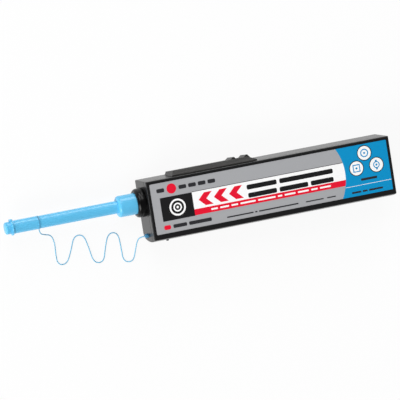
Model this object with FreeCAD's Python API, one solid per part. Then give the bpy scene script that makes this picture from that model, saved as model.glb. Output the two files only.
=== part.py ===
"""Push-type fibre connector cleaner: a reel-fed hand tool with a capped nozzle.

Millimetres. The tool lies on its back with its label upwards: X runs from the nozzle (-X) to
the rear end (+X), Y from the plain lower side to the side with the slide lever, and Z from the
back face (z = 0) to the label. The origin is the middle of the back face. Distances called
"ahead" are measured forwards, along -X, from the front face of the housing.
"""
import FreeCAD, Part
import math
import os

Vector = FreeCAD.Vector

# ---- housing ---------------------------------------------------------------------------------
LENGTH = 140.0            # along X
HEIGHT = 32.0             # of the label face along Y
THICKNESS = 20.0          # along Z
SHELL_DEPTH = 16.0        # depth of the back shell; the front cover is the rest
WALL = 1.8                # walls and floors of both halves
BOW_RISE = 1.4            # how far the lower side swells out beyond the label face
BOW_CREST = 11.0          # height of that crest above the back face
BACK_ROUND = 4.0          # round of the lower back edge
EDGE_ROUND = 0.6          # small round of the other edges
LIP_HEIGHT = 1.6          # lip of the cover inside the back shell
LIP_ROOM = 3.0            # depth of the notches in the lip for what passes it
LIP_THICKNESS = 1.0
LIP_GAP = 0.10
SEAM_WIDTH = 0.30         # fine groove where the halves meet
SEAM_DEPTH = 0.25
FIT_GAP = 0.02            # between pieces pressed together
MERGE = 0.5               # how far features of one piece reach into each other
PAST = 1.0                # how far cutting shapes run past what they cut
SLAB_ROOM = 5.0           # how far slabs run past the housing
NEAR = 1e-6               # tolerance for picking edges

# ---- label -----------------------------------------------------------------------------------
LABEL_THICKNESS = 0.20
LABEL_SINK = 0.08         # label's face below the bezel
LABEL_MARGIN = 1.8        # bezel left round the label
LABEL_LOWER_MARGIN = 2.7  # bezel below it
LABEL_CORNER = 0.6

# ---- posts that join the two halves ----------------------------------------------------------
POST_RADIUS = 2.6
PEG_RADIUS = 1.4
PEG_LENGTH = 4.0
POST_SPREAD = 10.2        # each pair stands this far above and below the middle line
FRONT_POST_INSET = 9.5    # from the front face to the single front post
MIDDLE_POST_INSET = 83.0  # from the front face to the middle pair
REAR_POST_INSET = 7.5     # from the rear face to the rear pair

# ---- nozzle line -----------------------------------------------------------------------------
NOZZLE_Y = 4.6
NOZZLE_Z = 10.0
COLLAR_RADIUS = 8.05
COLLAR_BORE = 6.1
COLLAR_AHEAD = 5.0        # how far the collar stands out of the front face
COLLAR_NECK = 6.8         # radius where the collar passes the wall
COLLAR_CROWN = 0.2        # how far its sides bulge
COLLAR_SHOULDER = 2.9     # how far ahead its rounded front begins
COLLAR_LIP = 0.6          # width of its flat front edge
COLLAR_FLANGE = 1.0       # thickness of its flange behind the wall
COLLAR_FLANGE_RADIUS = 7.7
CARRIAGE_NECK = 5.7       # radius of the carriage's neck, which runs in the collar
CARRIAGE_FLANGE = 6.7
CARRIAGE_FLANGE_THICKNESS = 2.0
CARRIAGE_DEPTH = 12.0     # rear end of the neck, behind the front face
SPIGOT_RADIUS = 4.5       # seat of the guide cap
SPIGOT_AHEAD = 10.0
SPIGOT_SHOULDER = 2.7     # where the neck ends and the spigot starts
SPIGOT_CHAMFER = 0.5
RAIL_INTO_NECK = 1.5      # the rack is rooted this deep in the neck
REST_GAP = 0.30           # between stops and faces that meet only under load
TUBE_RADIUS = 2.3
TUBE_BORE = 1.5
TUBE_AHEAD = 45.5
TUBE_CHAMFER = 0.25
PUSH_TRAVEL = 8.0         # the nozzle is pushed in this far

# ---- guide cap and dust cap ------------------------------------------------------------------
GUIDE_REAR = 3.0          # rear face of the guide cap, ahead of the housing
SOCKET_RADIUS = 5.8
SOCKET_AHEAD = 15.0       # shoulder in front of the wide socket
SOCKET_ROUND = 1.5
SOCKET_REAR_ROUND = 0.4
SOCKET_BORE_GAP = 0.05
SOCKET_BORE_END = 10.6
GUIDE_RADIUS = 3.42
GUIDE_TUBE_GAP = 0.15     # between the guide cap and the nozzle tube
GUIDE_STEP = 52.0         # the bore narrows here
GUIDE_STEP_CONE = 0.8
GUIDE_WAIST_BORE = 1.6
PORT_CONE = 1.2
PORT_BORE = 1.26          # guides a 2.5 mm ferrule
PORT_START = 62.0
GUIDE_SHOULDER = 58.7     # the dust cap starts here
GUIDE_END = 72.0
DUST_SEAT = 2.86          # radius of the stretch under the dust cap
DUST_SEAT_GAP = 0.06
DUST_SEAT_ROUND = 0.5
DUST_GAP = 0.15           # between the dust cap and the guide cap's shoulder
DUST_RADIUS = 3.55
DUST_END = 77.8
DUST_END_WALL = 1.3
DUST_END_RADIUS = 3.3     # the stretch in front of the flange
DUST_END_ROUND = 0.9
DUST_FLANGE_AHEAD = 73.6
DUST_FLANGE_THICKNESS = 1.0
DUST_FLANGE_RISE = 0.75
DUST_FLANGE_ROUND = 0.3
DUST_NUB_WIDTH = 2.4      # thumb nub on the lever side of the flange
DUST_NUB_RISE = 0.15
DUST_NUB_SPREAD = 0.3     # beyond the flange, before and behind
DUST_NUB_ROUND = 0.35
RING_GROOVE = 0.35        # depth of the groove for the tether's ring
RING_WIRE = 0.2           # radius of the ring's section
RING_AHEAD = 59.4
RING_ROOM = 0.05          # in the groove, on each side of the ring

# ---- tether ----------------------------------------------------------------------------------
TETHER_RADIUS = 0.30
PLUG_Y = -13.9
PLUG_Z = 8.5
PLUG_RADIUS = 1.1
PLUG_AHEAD = 1.7
PLUG_SINK = 4.0           # length of the plug inside the housing
PLUG_MOUTH = 1.4          # radius of the wider mouth of its hole
PLUG_MOUTH_DEPTH = 1.2
PLUG_BOSS = 2.2           # half the width of the boss round the hole
PLUG_BOSS_WALL = 1.0      # of the boss behind the plug
PLUG_ROUND = 0.4

# ---- cleaning tip ----------------------------------------------------------------------------
SHAFT_RADIUS = 1.2
SHAFT_BORE = 0.85
SHAFT_AHEAD = 53.0
SHAFT_REAR = 47.0         # rear end, behind the front face
SHAFT_FLANGE_RADIUS = 2.2
SHAFT_FLANGE_LENGTH = 1.0
HEAD_RADIUS = 1.1
HEAD_LENGTH = 2.6
HEAD_STEM = 2.0           # part of the head inside the shaft
HEAD_STEM_RADIUS = 0.8
HEAD_ROUND = 0.7
SADDLE_INSET = 0.6        # from the front of the head to the axis the thread turns round
THREAD_RADIUS = 0.2
THREAD_SPREAD = 0.55      # each of the two threads in the shaft, from its axis
THREAD_SLOT_GAP = 0.05
STRAND_GAP = 0.08         # between the free strands and what they run to
SUPPLY_LEAD = 12.0        # the fresh thread dips under the take-up flange this far on
LEAD_OUT = 0.6            # there, further out than where it passes the pawl's post
LEAD_UP = 0.9             # and higher than where it passes the reel
FEED_OUT = 0.2            # beside the reel, the same
FEED_TURN = 5.0           # it turns towards the shaft this far behind the pinion
FEED_UP = 0.4
RETURN_CLIMB = 0.25       # the used thread climbs over that flange this far along its way
TIP_TRAVEL = 1.5          # the tip gives way this far

# ---- lever and tip carrier -------------------------------------------------------------------
LEVER_FRONT = 15.6        # front end, behind the front face
LEVER_LENGTH = 48.8
LEVER_RISE = 3.05         # top of the lever above the housing
LEVER_FALL = 1.1          # the top falls this much from the label side to the back
LEVER_Z0 = 5.2
LEVER_Z1 = 18.4
LEVER_CHAMFER = 1.3       # slope along the side next to the label
LEVER_CHAMFER_FOOT = 0.5  # upright stretch below that slope
LEVER_SLOPE = 1.3         # length of the front slope
LEVER_REAR_SLOPE = 5.0    # length of the rear slope
LEVER_REAR_DROP = 2.2     # how far the top comes down along it
LEVER_REAR_ROUND = 0.5
LEVER_GAP = 0.15          # over the housing
FIN_RISE = 1.0            # above the lever's top
FIN_FRONT_SLOPE = 1.4     # length of the front slope above the lever's top
FIN_REAR_SLOPE = 0.8
FIN_CREST = 0.5           # width of the crest
FIN_ROUND = 0.4           # round of the crest's edges
FIN_INSETS = (4.6, 12.2)  # centres of the fins, from the rear end of the lever
FIN_Z0 = 5.4
FIN_Z1 = 15.8
REACH_TRAVEL = 8.0        # the lever slides the tip out this far
CARRIER_REAR = 46.0       # rear face of the tip carrier, behind the front face
CARRIER_LENGTH = 10.0
CARRIER_HALF_Y = 3.0
CARRIER_HALF_Z = 3.5
CARRIER_WALL = 2.0
CARRIER_CHAMBER = 2.5     # radius of the spring chamber
SHAFT_GAP = 0.12          # around the shaft where it runs in a bore
ARM_LENGTH = 5.0
ARM_INSET = 1.0           # from the carrier's rear face
ARM_HALF_Z = 1.8
SLOT_GAP = 0.5            # around the arm in the slot of the housing
KEEPER_LENGTH = 17.0
KEEPER_THICKNESS = 0.8
KEEPER_GAP = 0.25
POCKET_DEPTH = 1.2        # the arm's end is held in the lever

# ---- springs ---------------------------------------------------------------------------------
RETURN_WIRE = 0.35
RETURN_RADIUS = 3.1
RETURN_COILS = 6
BULKHEAD_BEHIND = 25.6    # front face of the spring's abutment, behind the front face
BULKHEAD_THICKNESS = 1.6
BULKHEAD_SLOT = 1.6
BULKHEAD_HALF_Y = 3.1
BULKHEAD_TOP = 14.0
TIP_WIRE = 0.26
TIP_SPRING_RADIUS = 1.85
TIP_SPRING_COILS = 5

# ---- gears and reels -------------------------------------------------------------------------
MODULE = 0.8
PINION_TEETH = 12
GEAR_TEETH = 32
ADDENDUM = 0.55
DEDENDUM = 0.75
PRESSURE_ANGLE = 20.0     # of the teeth, in degrees
TOOTH_ROOT = 0.05         # how far the rack's teeth are rooted in its rail
GEAR_ROOT = 0.2           # the same for the gears' teeth
TIP_EASE = 1.4            # how much faster the gears' teeth narrow towards their tips
BACKLASH = 0.24           # taken from the thickness of every tooth at the pitch line
MESH_GAP = 0.10           # added to each centre distance
RACK_PITCH_Y = -1.5       # pitch line of the rack
RACK_BACK_Y = 1.0
RACK_Z0 = 6.2
RACK_Z1 = 8.8
RACK_TEETH = 5
RACK_RIBS = (22.0, 32.0)  # ribs under the rack, behind the front face
RACK_GAP = 0.1            # round the rack on its ribs
RACK_PAST_PINION = 0.5    # the rack's end at rest, past the pinion's centre
PINION_BEHIND = 45.3      # axle positions, behind the front face
PINION_Z1 = 9.0
GEAR_Z0 = 3.0
GEAR_THICKNESS = 2.6
GEAR_Y = 0.0
GEAR_SQUARE = 5.6         # side of the reel's square under the gear
GEAR_HOLES = 6
GEAR_HOLE_RADIUS = 1.9
GEAR_HOLE_CIRCLE = 7.6    # radius of the circle they stand on
REEL_RADIUS = 12.5
REEL_HUB = 5.0            # spacer between the gear and the take-up reel
REEL_CORE = 4.0
TAKEUP_Z0 = 9.4
REEL_TOP = 16.2
FLANGE = 1.0
RATCHET_TEETH = 24
RATCHET_DEPTH = 0.9
RATCHET_RISE = 0.06       # steep side of a tooth, as a share of the step
TAKEUP_PACK = 6.0
SUPPLY_BEHIND = 104.0
SUPPLY_Y = 0.0
SUPPLY_Z0 = 5.0
SUPPLY_PACK = 9.5
PACK_GAP = 0.05
PACK_BARREL = 0.4         # how far the packs swell between the flanges
AXLE_RADIUS = 1.5
PINION_AXLE_RADIUS = 1.0
RUNNING_GAP = 0.07
AXLE_BOSS_WALL = 1.4
AXLE_SINK = 1.0           # depth of the axle's seat in the back shell
AXLE_CHAMFER = 0.2
PAWL_POST_BEHIND = 84.0
PAWL_POST_Y = 3.4
PAWL_POST_RADIUS = 1.8
PAWL_PIN_RADIUS = 0.9
PAWL_EYE = 1.8
PAWL_THICKNESS = 1.2
AXLE_BOSS_GAP = 0.2       # between the axle bosses and the gear and reel
PINION_AXLE_OUT = 1.2     # the pinion's axle stands out of it this far
PAWL_LEAF = 0.6
PAWL_GAP = 0.3
PAWL_BEVEL = 1.2          # length of the slope at the leaf's end
PAWL_BULGE = 0.8          # width of the leaf there, as a share of its thickness
PAWL_DROP = 0.1           # the pawls lie this far below the reels' upper flanges
PAWL_ANGLE = 20.0         # where each leaf touches its reel, from the line between the reels

# ---- detent ----------------------------------------------------------------------------------
DETENT_LEAF = 0.3
DETENT_HALF_Z = 2.0
DETENT_FOOT = 3.0
DETENT_LENGTH = 12.0
DETENT_BUMP = 0.9
DETENT_BUMP_HALF = 2.0    # half the bump's length
DETENT_RAMP = 1.0         # half the length of the step from the foot to the leaf
DETENT_STAND = 0.6        # between the wall and the leaf
DETENT_EASE = 0.1         # keeps the leaf's thickness round the bends

# ---- small pip on the lower side -------------------------------------------------------------
PIP_BEHIND = 9.5
PIP_Z = 12.0
PIP_RADIUS = 0.7
PIP_RISE = 0.7

# ---- the tether's route: (ahead, y, z) from the ring on the dust cap to the plug ----------------
TETHER_ROUTE = [
    (59.4, 0.82, 10.0), (59.0, -1.7, 8.9), (56.0, -3.0, 6.2), (51.3, -4.3, 2.6),
    (49.6, -9.4, 0.6), (50.0, -14.6, 0.3), (49.8, -21.0, 0.3), (44.7, -21.7, 0.3),
    (41.3, -14.9, 0.3), (38.6, -7.5, 0.3), (33.2, -7.5, 0.3), (31.3, -15.0, 0.3),
    (29.9, -23.8, 0.3), (24.3, -24.5, 0.3), (22.3, -17.0, 0.3), (19.5, -9.5, 0.3),
    (14.1, -10.0, 0.3), (13.5, -18.0, 0.3), (13.5, -26.3, 0.3), (8.0, -27.3, 0.4),
    (6.5, -21.0, 2.8), (5.6, -15.2, 6.6), (3.9, -13.9, 8.5), (1.7, -13.9, 8.5),
]

FRONT = -LENGTH / 2
REAR = LENGTH / 2
TOP = HEIGHT / 2
BOTTOM = -HEIGHT / 2
COVER_INSIDE = THICKNESS - WALL
FLOOR = WALL              # inside face of the back shell
MIDDLE_POST_X = FRONT + MIDDLE_POST_INSET
PINION_X = FRONT + PINION_BEHIND
SUPPLY_X = FRONT + SUPPLY_BEHIND
PAWL_POST_X = FRONT + PAWL_POST_BEHIND


# ---- general shapes --------------------------------------------------------------------------
def ahead(distance):
    """X of a plane this far in front of the housing's front face."""
    return FRONT - distance


def behind(distance):
    """X of a plane this far behind the housing's front face."""
    return FRONT + distance


def box(x0, x1, y0, y1, z0, z1):
    """A box between two corners."""
    return Part.makeBox(x1 - x0, y1 - y0, z1 - z0, Vector(x0, y0, z0))


def rod(radius, x0, x1, y=NOZZLE_Y, z=NOZZLE_Z):
    """A cylinder along X."""
    return Part.makeCylinder(radius, x1 - x0, Vector(x0, y, z), Vector(1, 0, 0))


def post(radius, x, y, z0, z1):
    """A cylinder along Z."""
    return Part.makeCylinder(radius, z1 - z0, Vector(x, y, z0), Vector(0, 0, 1))


def turned(points, y=NOZZLE_Y, z=NOZZLE_Z):
    """A solid turned about an X axis from (x, radius) points."""
    outline = [Vector(px, y + pr, z) for px, pr in points]
    face = Part.Face(Part.makePolygon(outline + outline[:1]))
    return face.revolve(Vector(0, y, z), Vector(1, 0, 0), 360)


def prism(points, z0, z1):
    """A prism along Z from (x, y) points."""
    outline = [Vector(px, py, z0) for px, py in points]
    return Part.Face(Part.makePolygon(outline + outline[:1])).extrude(Vector(0, 0, z1 - z0))


def turned_edges(edges, y=NOZZLE_Y, z=NOZZLE_Z):
    """A solid turned about an X axis from edges drawn in the XY plane."""
    return Part.Face(Part.Wire(edges)).revolve(Vector(0, y, z), Vector(1, 0, 0), 360)


def fused(shapes):
    """One solid from shapes that touch or overlap."""
    first, rest = shapes[0], shapes[1:]
    return first.fuse(rest).removeSplitter() if rest else first


def coil(radius, wire, coils, x0, x1):
    """A compression spring along the nozzle's axis, its wire inside x0 and x1."""
    length = x1 - x0 - 2 * wire
    helix = Part.makeHelix(length / coils, length, radius)
    profile = Part.Wire(Part.makeCircle(wire, Vector(radius, 0, 0), Vector(0, 1, 0)))
    spring = Part.Wire(helix.Edges).makePipeShell([profile], True, True)
    spring.rotate(Vector(0, 0, 0), Vector(0, 1, 0), 90)
    spring.translate(Vector(x0 + wire, NOZZLE_Y, NOZZLE_Z))
    return spring


def tube_along(route, radius, report=None):
    """A round tube along straight runs joined by tangent arcs."""
    corners = [Vector(*p) for p in route]
    edges, start, radii = [], corners[0], []
    for before, corner, after in zip(corners, corners[1:], corners[2:]):
        back, forth = before - corner, after - corner
        half_turn = (math.pi - back.getAngle(forth)) / 2
        reach = 0.45 * min(back.Length, forth.Length)
        radii.append(reach / math.tan(half_turn))
        back.normalize()
        forth.normalize()
        first, last = corner + back * reach, corner + forth * reach
        inward = back + forth
        inward.normalize()
        middle = corner + inward * (radii[-1] / math.cos(half_turn) - radii[-1])
        edges.append(Part.LineSegment(start, first).toShape())
        edges.append(Part.Arc(first, middle, last).toShape())
        start = last
    edges.append(Part.LineSegment(start, corners[-1]).toShape())
    path = Part.Wire(edges)
    direction = corners[1] - corners[0]
    profile = Part.Wire(Part.makeCircle(radius, corners[0], direction))
    tube = path.makePipeShell([profile], True, False)
    if report:
        expected = math.pi * radius ** 2 * path.Length
        print(report, "length %.1f mm, radii %.1f to %.1f mm, volume %.4f of its section x length"
              % (path.Length, min(radii), max(radii), tube.Volume / expected))
    return tube


# ---- housing ---------------------------------------------------------------------------------
def section(inset, x, front):
    """The housing's cross-section at x, drawn in YZ, set in by a wall and ending at a front plane."""
    top, back = TOP - inset, inset
    crest = BOTTOM - BOW_RISE + inset
    reach = THICKNESS - BOW_CREST
    bow = (reach ** 2 + BOW_RISE ** 2) / (2 * BOW_RISE) - inset

    def lower(z):
        """Y of the bowed lower side at height z."""
        return crest + bow - math.sqrt(bow ** 2 - (z - BOW_CREST) ** 2)

    corner = max(BACK_ROUND - inset, BACK_ROUND / 8)
    hub = Vector(x, crest + bow, BOW_CREST)
    centre_z = back + corner
    centre_y = hub.y - math.sqrt((bow - corner) ** 2 - (centre_z - BOW_CREST) ** 2)
    centre = Vector(x, centre_y, centre_z)
    outwards = centre - hub
    outwards.normalize()
    halfway = outwards + Vector(0, 0, -1)
    halfway.normalize()
    points = {
        "top_back": Vector(x, top, back), "top_front": Vector(x, top, front),
        "low_front": Vector(x, lower(front), front), "crest": Vector(x, crest, BOW_CREST),
        "turn": hub + outwards * bow, "slant": centre + halfway * corner,
        "low_back": Vector(x, centre_y, back),
    }
    edges = [
        Part.LineSegment(points["top_back"], points["top_front"]).toShape(),
        Part.LineSegment(points["top_front"], points["low_front"]).toShape(),
        Part.Arc(points["low_front"], points["crest"], points["turn"]).toShape(),
        Part.Arc(points["turn"], points["slant"], points["low_back"]).toShape(),
        Part.LineSegment(points["low_back"], points["top_back"]).toShape(),
    ]
    return Part.Face(Part.Wire(edges))


def block(inset, x0, x1, front=None):
    """The housing's section run from x0 to x1."""
    if front is None:
        front = THICKNESS - inset
    return section(inset, x0, front).extrude(Vector(x1 - x0, 0, 0))


def slab(z0, z1):
    """Everything between two heights."""
    return box(FRONT - SLAB_ROOM, REAR + SLAB_ROOM, BOTTOM - SLAB_ROOM, TOP + SLAB_ROOM, z0, z1)


def housing_block():
    """The whole housing as one block with softened edges."""
    whole = block(0, FRONT, REAR)
    kept = []
    for edge in whole.Edges:
        box_ = edge.BoundBox
        lengthwise = box_.XLength > LENGTH / 2
        blended = box_.ZMax < THICKNESS - NEAR and (box_.ZMin > NEAR or box_.YMax < 0)
        if not (lengthwise and blended):
            kept.append(edge)
    return whole.makeFillet(EDGE_ROUND, kept)


def post_places():
    """Centres of the posts that join the halves."""
    places = [(behind(FRONT_POST_INSET), -POST_SPREAD)]
    for x in (MIDDLE_POST_X, REAR - REAR_POST_INSET):
        places += [(x, POST_SPREAD), (x, -POST_SPREAD)]
    return places


def gear_x():
    """X of the take-up reel's axle, from the mesh with the pinion."""
    distance = MODULE * (PINION_TEETH + GEAR_TEETH) / 2 + MESH_GAP
    return PINION_X + math.sqrt(distance ** 2 - (GEAR_Y - pinion_y()) ** 2)


def pinion_y():
    """Y of the pinion's axle, from the mesh with the rack."""
    return RACK_PITCH_Y - MODULE * PINION_TEETH / 2 - MESH_GAP


def axle_places():
    """Name, x, y, radius and top of each steel axle."""
    return [
        ("pinion_axle", PINION_X, pinion_y(), PINION_AXLE_RADIUS, PINION_Z1 + PINION_AXLE_OUT),
        ("takeup_axle", gear_x(), GEAR_Y, AXLE_RADIUS, COVER_INSIDE - FIT_GAP),
        ("supply_axle", SUPPLY_X, SUPPLY_Y, AXLE_RADIUS, COVER_INSIDE - FIT_GAP),
    ]


def collar_opening():
    """The hole for the nozzle collar, through both halves."""
    return rod(COLLAR_NECK + FIT_GAP, ahead(PAST), behind(WALL + PAST))


def lever_slot():
    """The slot in the lever side that the carrier's arm runs in."""
    x1 = arm_span()[1] + SLOT_GAP
    x0 = arm_span()[0] - REACH_TRAVEL - SLOT_GAP
    half = ARM_HALF_Z + SLOT_GAP
    return box(x0, x1, TOP - WALL - PAST, TOP + PAST, NOZZLE_Z - half, NOZZLE_Z + half)


def seam():
    """The fine groove round the housing where the halves meet."""
    belt = slab(SHELL_DEPTH - SEAM_WIDTH / 2, SHELL_DEPTH + SEAM_WIDTH / 2)
    return belt.cut(block(SEAM_DEPTH, FRONT + SEAM_DEPTH, REAR - SEAM_DEPTH))


def back_shell():
    """The deep half: walls, posts, axle seats, the springs' abutment and the rack's guides."""
    outer = housing_block().common(slab(-PAST, SHELL_DEPTH))
    inner = block(WALL, FRONT + WALL, REAR - WALL).common(slab(-PAST, SHELL_DEPTH + PAST))
    shell = outer.cut([inner, seam()])
    added = []
    for x, y in post_places():
        added.append(post(POST_RADIUS, x, y, FLOOR - MERGE, SHELL_DEPTH - LIP_HEIGHT - REST_GAP))
    for _, x, y, radius, _ in axle_places():
        added.append(post(radius + AXLE_BOSS_WALL, x, y, FLOOR - MERGE, GEAR_Z0 - AXLE_BOSS_GAP))
    added += [bulkhead(), plug_boss(), pip()]
    added += [post(PAWL_POST_RADIUS, PAWL_POST_X, side * PAWL_POST_Y, FLOOR - MERGE, pawl_z())
              for side in (1, -1)]
    added += [post(PAWL_PIN_RADIUS, PAWL_POST_X, side * PAWL_POST_Y, FLOOR,
                   pawl_z() + PAWL_THICKNESS) for side in (1, -1)]
    added += rack_guides()
    shell = fused([shell] + added)
    cuts = [collar_opening(), lever_slot(), plug_hole()]
    for x, y in post_places():
        cuts.append(post(PEG_RADIUS + FIT_GAP, x, y, SHELL_DEPTH - LIP_HEIGHT - PEG_LENGTH - PAST,
                         SHELL_DEPTH + PAST))
    for _, x, y, radius, _ in axle_places():
        cuts.append(post(radius + FIT_GAP, x, y, GEAR_Z0 - AXLE_BOSS_GAP - AXLE_SINK, GEAR_Z0 + PAST))
    cuts.append(detent_seat())
    return shell.cut(cuts)


def bulkhead():
    """The rib that carries the rear end of the return spring, open for the tip's shaft."""
    x0 = behind(BULKHEAD_BEHIND)
    x1 = x0 + BULKHEAD_THICKNESS
    rib = box(x0, x1, NOZZLE_Y - BULKHEAD_HALF_Y, NOZZLE_Y + BULKHEAD_HALF_Y,
              FLOOR - MERGE, BULKHEAD_TOP)
    slot = box(x0 - PAST, x1 + PAST, NOZZLE_Y - BULKHEAD_SLOT, NOZZLE_Y + BULKHEAD_SLOT,
               NOZZLE_Z, BULKHEAD_TOP + PAST)
    return rib.cut([slot, rod(BULKHEAD_SLOT, x0 - PAST, x1 + PAST)])


def rack_guides():
    """Two low ribs that the rack slides on."""
    ribs = []
    for inset in RACK_RIBS:
        x0 = behind(inset)
        ribs.append(box(x0, x0 + WALL, RACK_PITCH_Y + DEDENDUM + RACK_GAP, RACK_BACK_Y - RACK_GAP,
                        FLOOR - MERGE, RACK_Z0 - RACK_GAP))
    return ribs


def plug_hole():
    """The hole that holds the tether's plug in the front face."""
    return fused([
        rod(PLUG_RADIUS + FIT_GAP, ahead(PAST), behind(PLUG_SINK + FIT_GAP), PLUG_Y, PLUG_Z),
        rod(PLUG_MOUTH, ahead(PAST), behind(PLUG_MOUTH_DEPTH), PLUG_Y, PLUG_Z),
    ])


def plug_boss():
    """The boss behind the front wall that the tether's plug is pressed into."""
    boss = box(behind(WALL - MERGE), behind(PLUG_SINK + PLUG_BOSS_WALL),
               PLUG_Y - PLUG_BOSS, PLUG_Y + PLUG_BOSS, PLUG_Z - PLUG_BOSS, PLUG_Z + PLUG_BOSS)
    return boss.common(block(WALL / 2, FRONT, REAR))


def front_cover():
    """The shallow half with the label's recess, the lip and the pegs."""
    outer = housing_block().common(slab(SHELL_DEPTH, THICKNESS + PAST))
    inner = block(WALL, FRONT + WALL, REAR - WALL).common(slab(SHELL_DEPTH - PAST, COVER_INSIDE))
    cover = outer.cut([inner, seam()])
    edge = WALL + LIP_GAP
    lip = block(edge, FRONT + edge, REAR - edge, COVER_INSIDE + WALL / 2)
    edge += LIP_THICKNESS
    lip = lip.cut(block(edge, FRONT + edge, REAR - edge, THICKNESS))
    lip = lip.common(slab(SHELL_DEPTH - LIP_HEIGHT, THICKNESS))
    lip = lip.cut([lever_way(), collar_way()])
    pegs = []
    for x, y in post_places():
        z0 = SHELL_DEPTH - LIP_HEIGHT
        pegs.append(post(POST_RADIUS, x, y, z0, COVER_INSIDE + WALL / 2))
        pegs.append(post(PEG_RADIUS, x, y, z0 - PEG_LENGTH, COVER_INSIDE))
    cover = fused([cover, lip] + pegs)
    return cover.cut([collar_opening(), label_sheet(LABEL_THICKNESS * 2)])


def lever_way():
    """Room in the lip for the keeper that slides along the lever side."""
    x0, x1 = keeper_span()
    return box(x0 - REACH_TRAVEL - PAST, x1 + PAST, TOP - WALL - LIP_ROOM, TOP,
               SHELL_DEPTH - LIP_ROOM, COVER_INSIDE - LIP_GAP)


def collar_way():
    """Room in the lip for the collar's inner flange and the carriage."""
    half = COLLAR_FLANGE_RADIUS + SLOT_GAP
    return box(FRONT, behind(CARRIAGE_DEPTH), NOZZLE_Y - half, NOZZLE_Y + half,
               SHELL_DEPTH - LIP_ROOM, COVER_INSIDE)


def pip():
    """The small latch pip on the lower side."""
    tip = Vector(behind(PIP_BEHIND), BOTTOM - BOW_RISE - PIP_RISE, PIP_Z)
    return Part.makeCylinder(PIP_RADIUS, PIP_RISE + WALL / 2, tip, Vector(0, 1, 0))


def label_sheet(thickness):
    """The label's rounded rectangle, from its lower face upwards."""
    x0, x1 = FRONT + LABEL_MARGIN, REAR - LABEL_MARGIN
    y0, y1 = BOTTOM + LABEL_LOWER_MARGIN, TOP - LABEL_MARGIN
    z0 = THICKNESS - LABEL_SINK - LABEL_THICKNESS
    sheet = box(x0, x1, y0, y1, z0, z0 + thickness)
    upright = [e for e in sheet.Edges if e.BoundBox.ZLength > NEAR]
    return sheet.makeFillet(LABEL_CORNER, upright)


def label():
    """The printed label in its recess."""
    return label_sheet(LABEL_THICKNESS)


def nozzle_collar():
    """The bulging ring in the front wall that the carriage runs in."""
    def at(x, radius):
        return Vector(x, NOZZLE_Y + radius, NOZZLE_Z)

    front, shoulder_x = ahead(COLLAR_AHEAD), ahead(COLLAR_SHOULDER)
    flange_back = behind(WALL + COLLAR_FLANGE)
    side, lip = COLLAR_RADIUS - COLLAR_CROWN, COLLAR_BORE + COLLAR_LIP
    corners = [at(front, lip), at(front, COLLAR_BORE), at(flange_back, COLLAR_BORE),
               at(flange_back, COLLAR_FLANGE_RADIUS), at(behind(WALL), COLLAR_FLANGE_RADIUS),
               at(behind(WALL), COLLAR_NECK), at(FRONT, COLLAR_NECK), at(FRONT, side)]
    edges = [Part.LineSegment(a, b).toShape() for a, b in zip(corners, corners[1:])]
    shoulder = at(shoulder_x, side)
    halfway = at((front + shoulder_x) / 2, (lip + side) / 2)
    bulge = (side - lip) / 4
    crown = at((FRONT + shoulder_x) / 2, COLLAR_RADIUS)
    edges.append(Part.Arc(corners[-1], crown, shoulder).toShape())
    edges.append(Part.Arc(shoulder, halfway + Vector(-bulge, bulge, 0), corners[0]).toShape())
    return turned_edges(edges)


def tether_plug():
    """The plug that holds the tether in the front face."""
    stem = rod(PLUG_RADIUS, ahead(PLUG_AHEAD), behind(PLUG_SINK), PLUG_Y, PLUG_Z)
    return stem.makeFillet(PLUG_ROUND, [e for e in stem.Edges
                                        if e.BoundBox.XMax < ahead(PLUG_AHEAD) + NEAR])


# ---- nozzle ----------------------------------------------------------------------------------
def nozzle_carriage():
    """The sliding base of the nozzle: spigot, neck, stop flange and rack."""
    shoulder = ahead(SPIGOT_SHOULDER)
    flange_front = behind(WALL + COLLAR_FLANGE + REST_GAP)
    flange_back = flange_front + CARRIAGE_FLANGE_THICKNESS
    rear = behind(CARRIAGE_DEPTH)
    bore = TUBE_RADIUS + FIT_GAP
    spigot_end = ahead(SPIGOT_AHEAD)
    body = turned([
        (spigot_end, bore), (spigot_end, SPIGOT_RADIUS - SPIGOT_CHAMFER),
        (spigot_end + SPIGOT_CHAMFER, SPIGOT_RADIUS),
        (shoulder, SPIGOT_RADIUS), (shoulder, CARRIAGE_NECK), (flange_front, CARRIAGE_NECK),
        (flange_front, CARRIAGE_FLANGE), (flange_back, CARRIAGE_FLANGE),
        (flange_back, CARRIAGE_NECK), (rear, CARRIAGE_NECK), (rear, bore),
    ])
    rail = box(flange_back - MERGE, rack_end(), RACK_PITCH_Y + DEDENDUM, RACK_BACK_Y,
               RACK_Z0, RACK_Z1)
    rail = rail.cut(rod(CARRIAGE_NECK - RAIL_INTO_NECK, FRONT, rear - PAST))
    teeth = [rack_tooth(i) for i in range(RACK_TEETH)]
    return fused([body, rail] + teeth)


def rack_end():
    """X of the rack's rear end, with the nozzle out."""
    return PINION_X + RACK_PAST_PINION + math.pi * MODULE / 4


def rack_tooth(index):
    """One straight-sided tooth of the rack, pointing down from its pitch line."""
    pitch = math.pi * MODULE
    centre = PINION_X - index * pitch
    half = (pitch / 2 - BACKLASH) / 2
    slope = math.tan(math.radians(PRESSURE_ANGLE))
    tip_y = RACK_PITCH_Y - ADDENDUM
    root_y = RACK_PITCH_Y + DEDENDUM + TOOTH_ROOT
    tip_half = half - ADDENDUM * slope
    root_half = half + (DEDENDUM + TOOTH_ROOT) * slope
    return prism([(centre - root_half, root_y), (centre - tip_half, tip_y),
                  (centre + tip_half, tip_y), (centre + root_half, root_y)], RACK_Z0, RACK_Z1)


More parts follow.
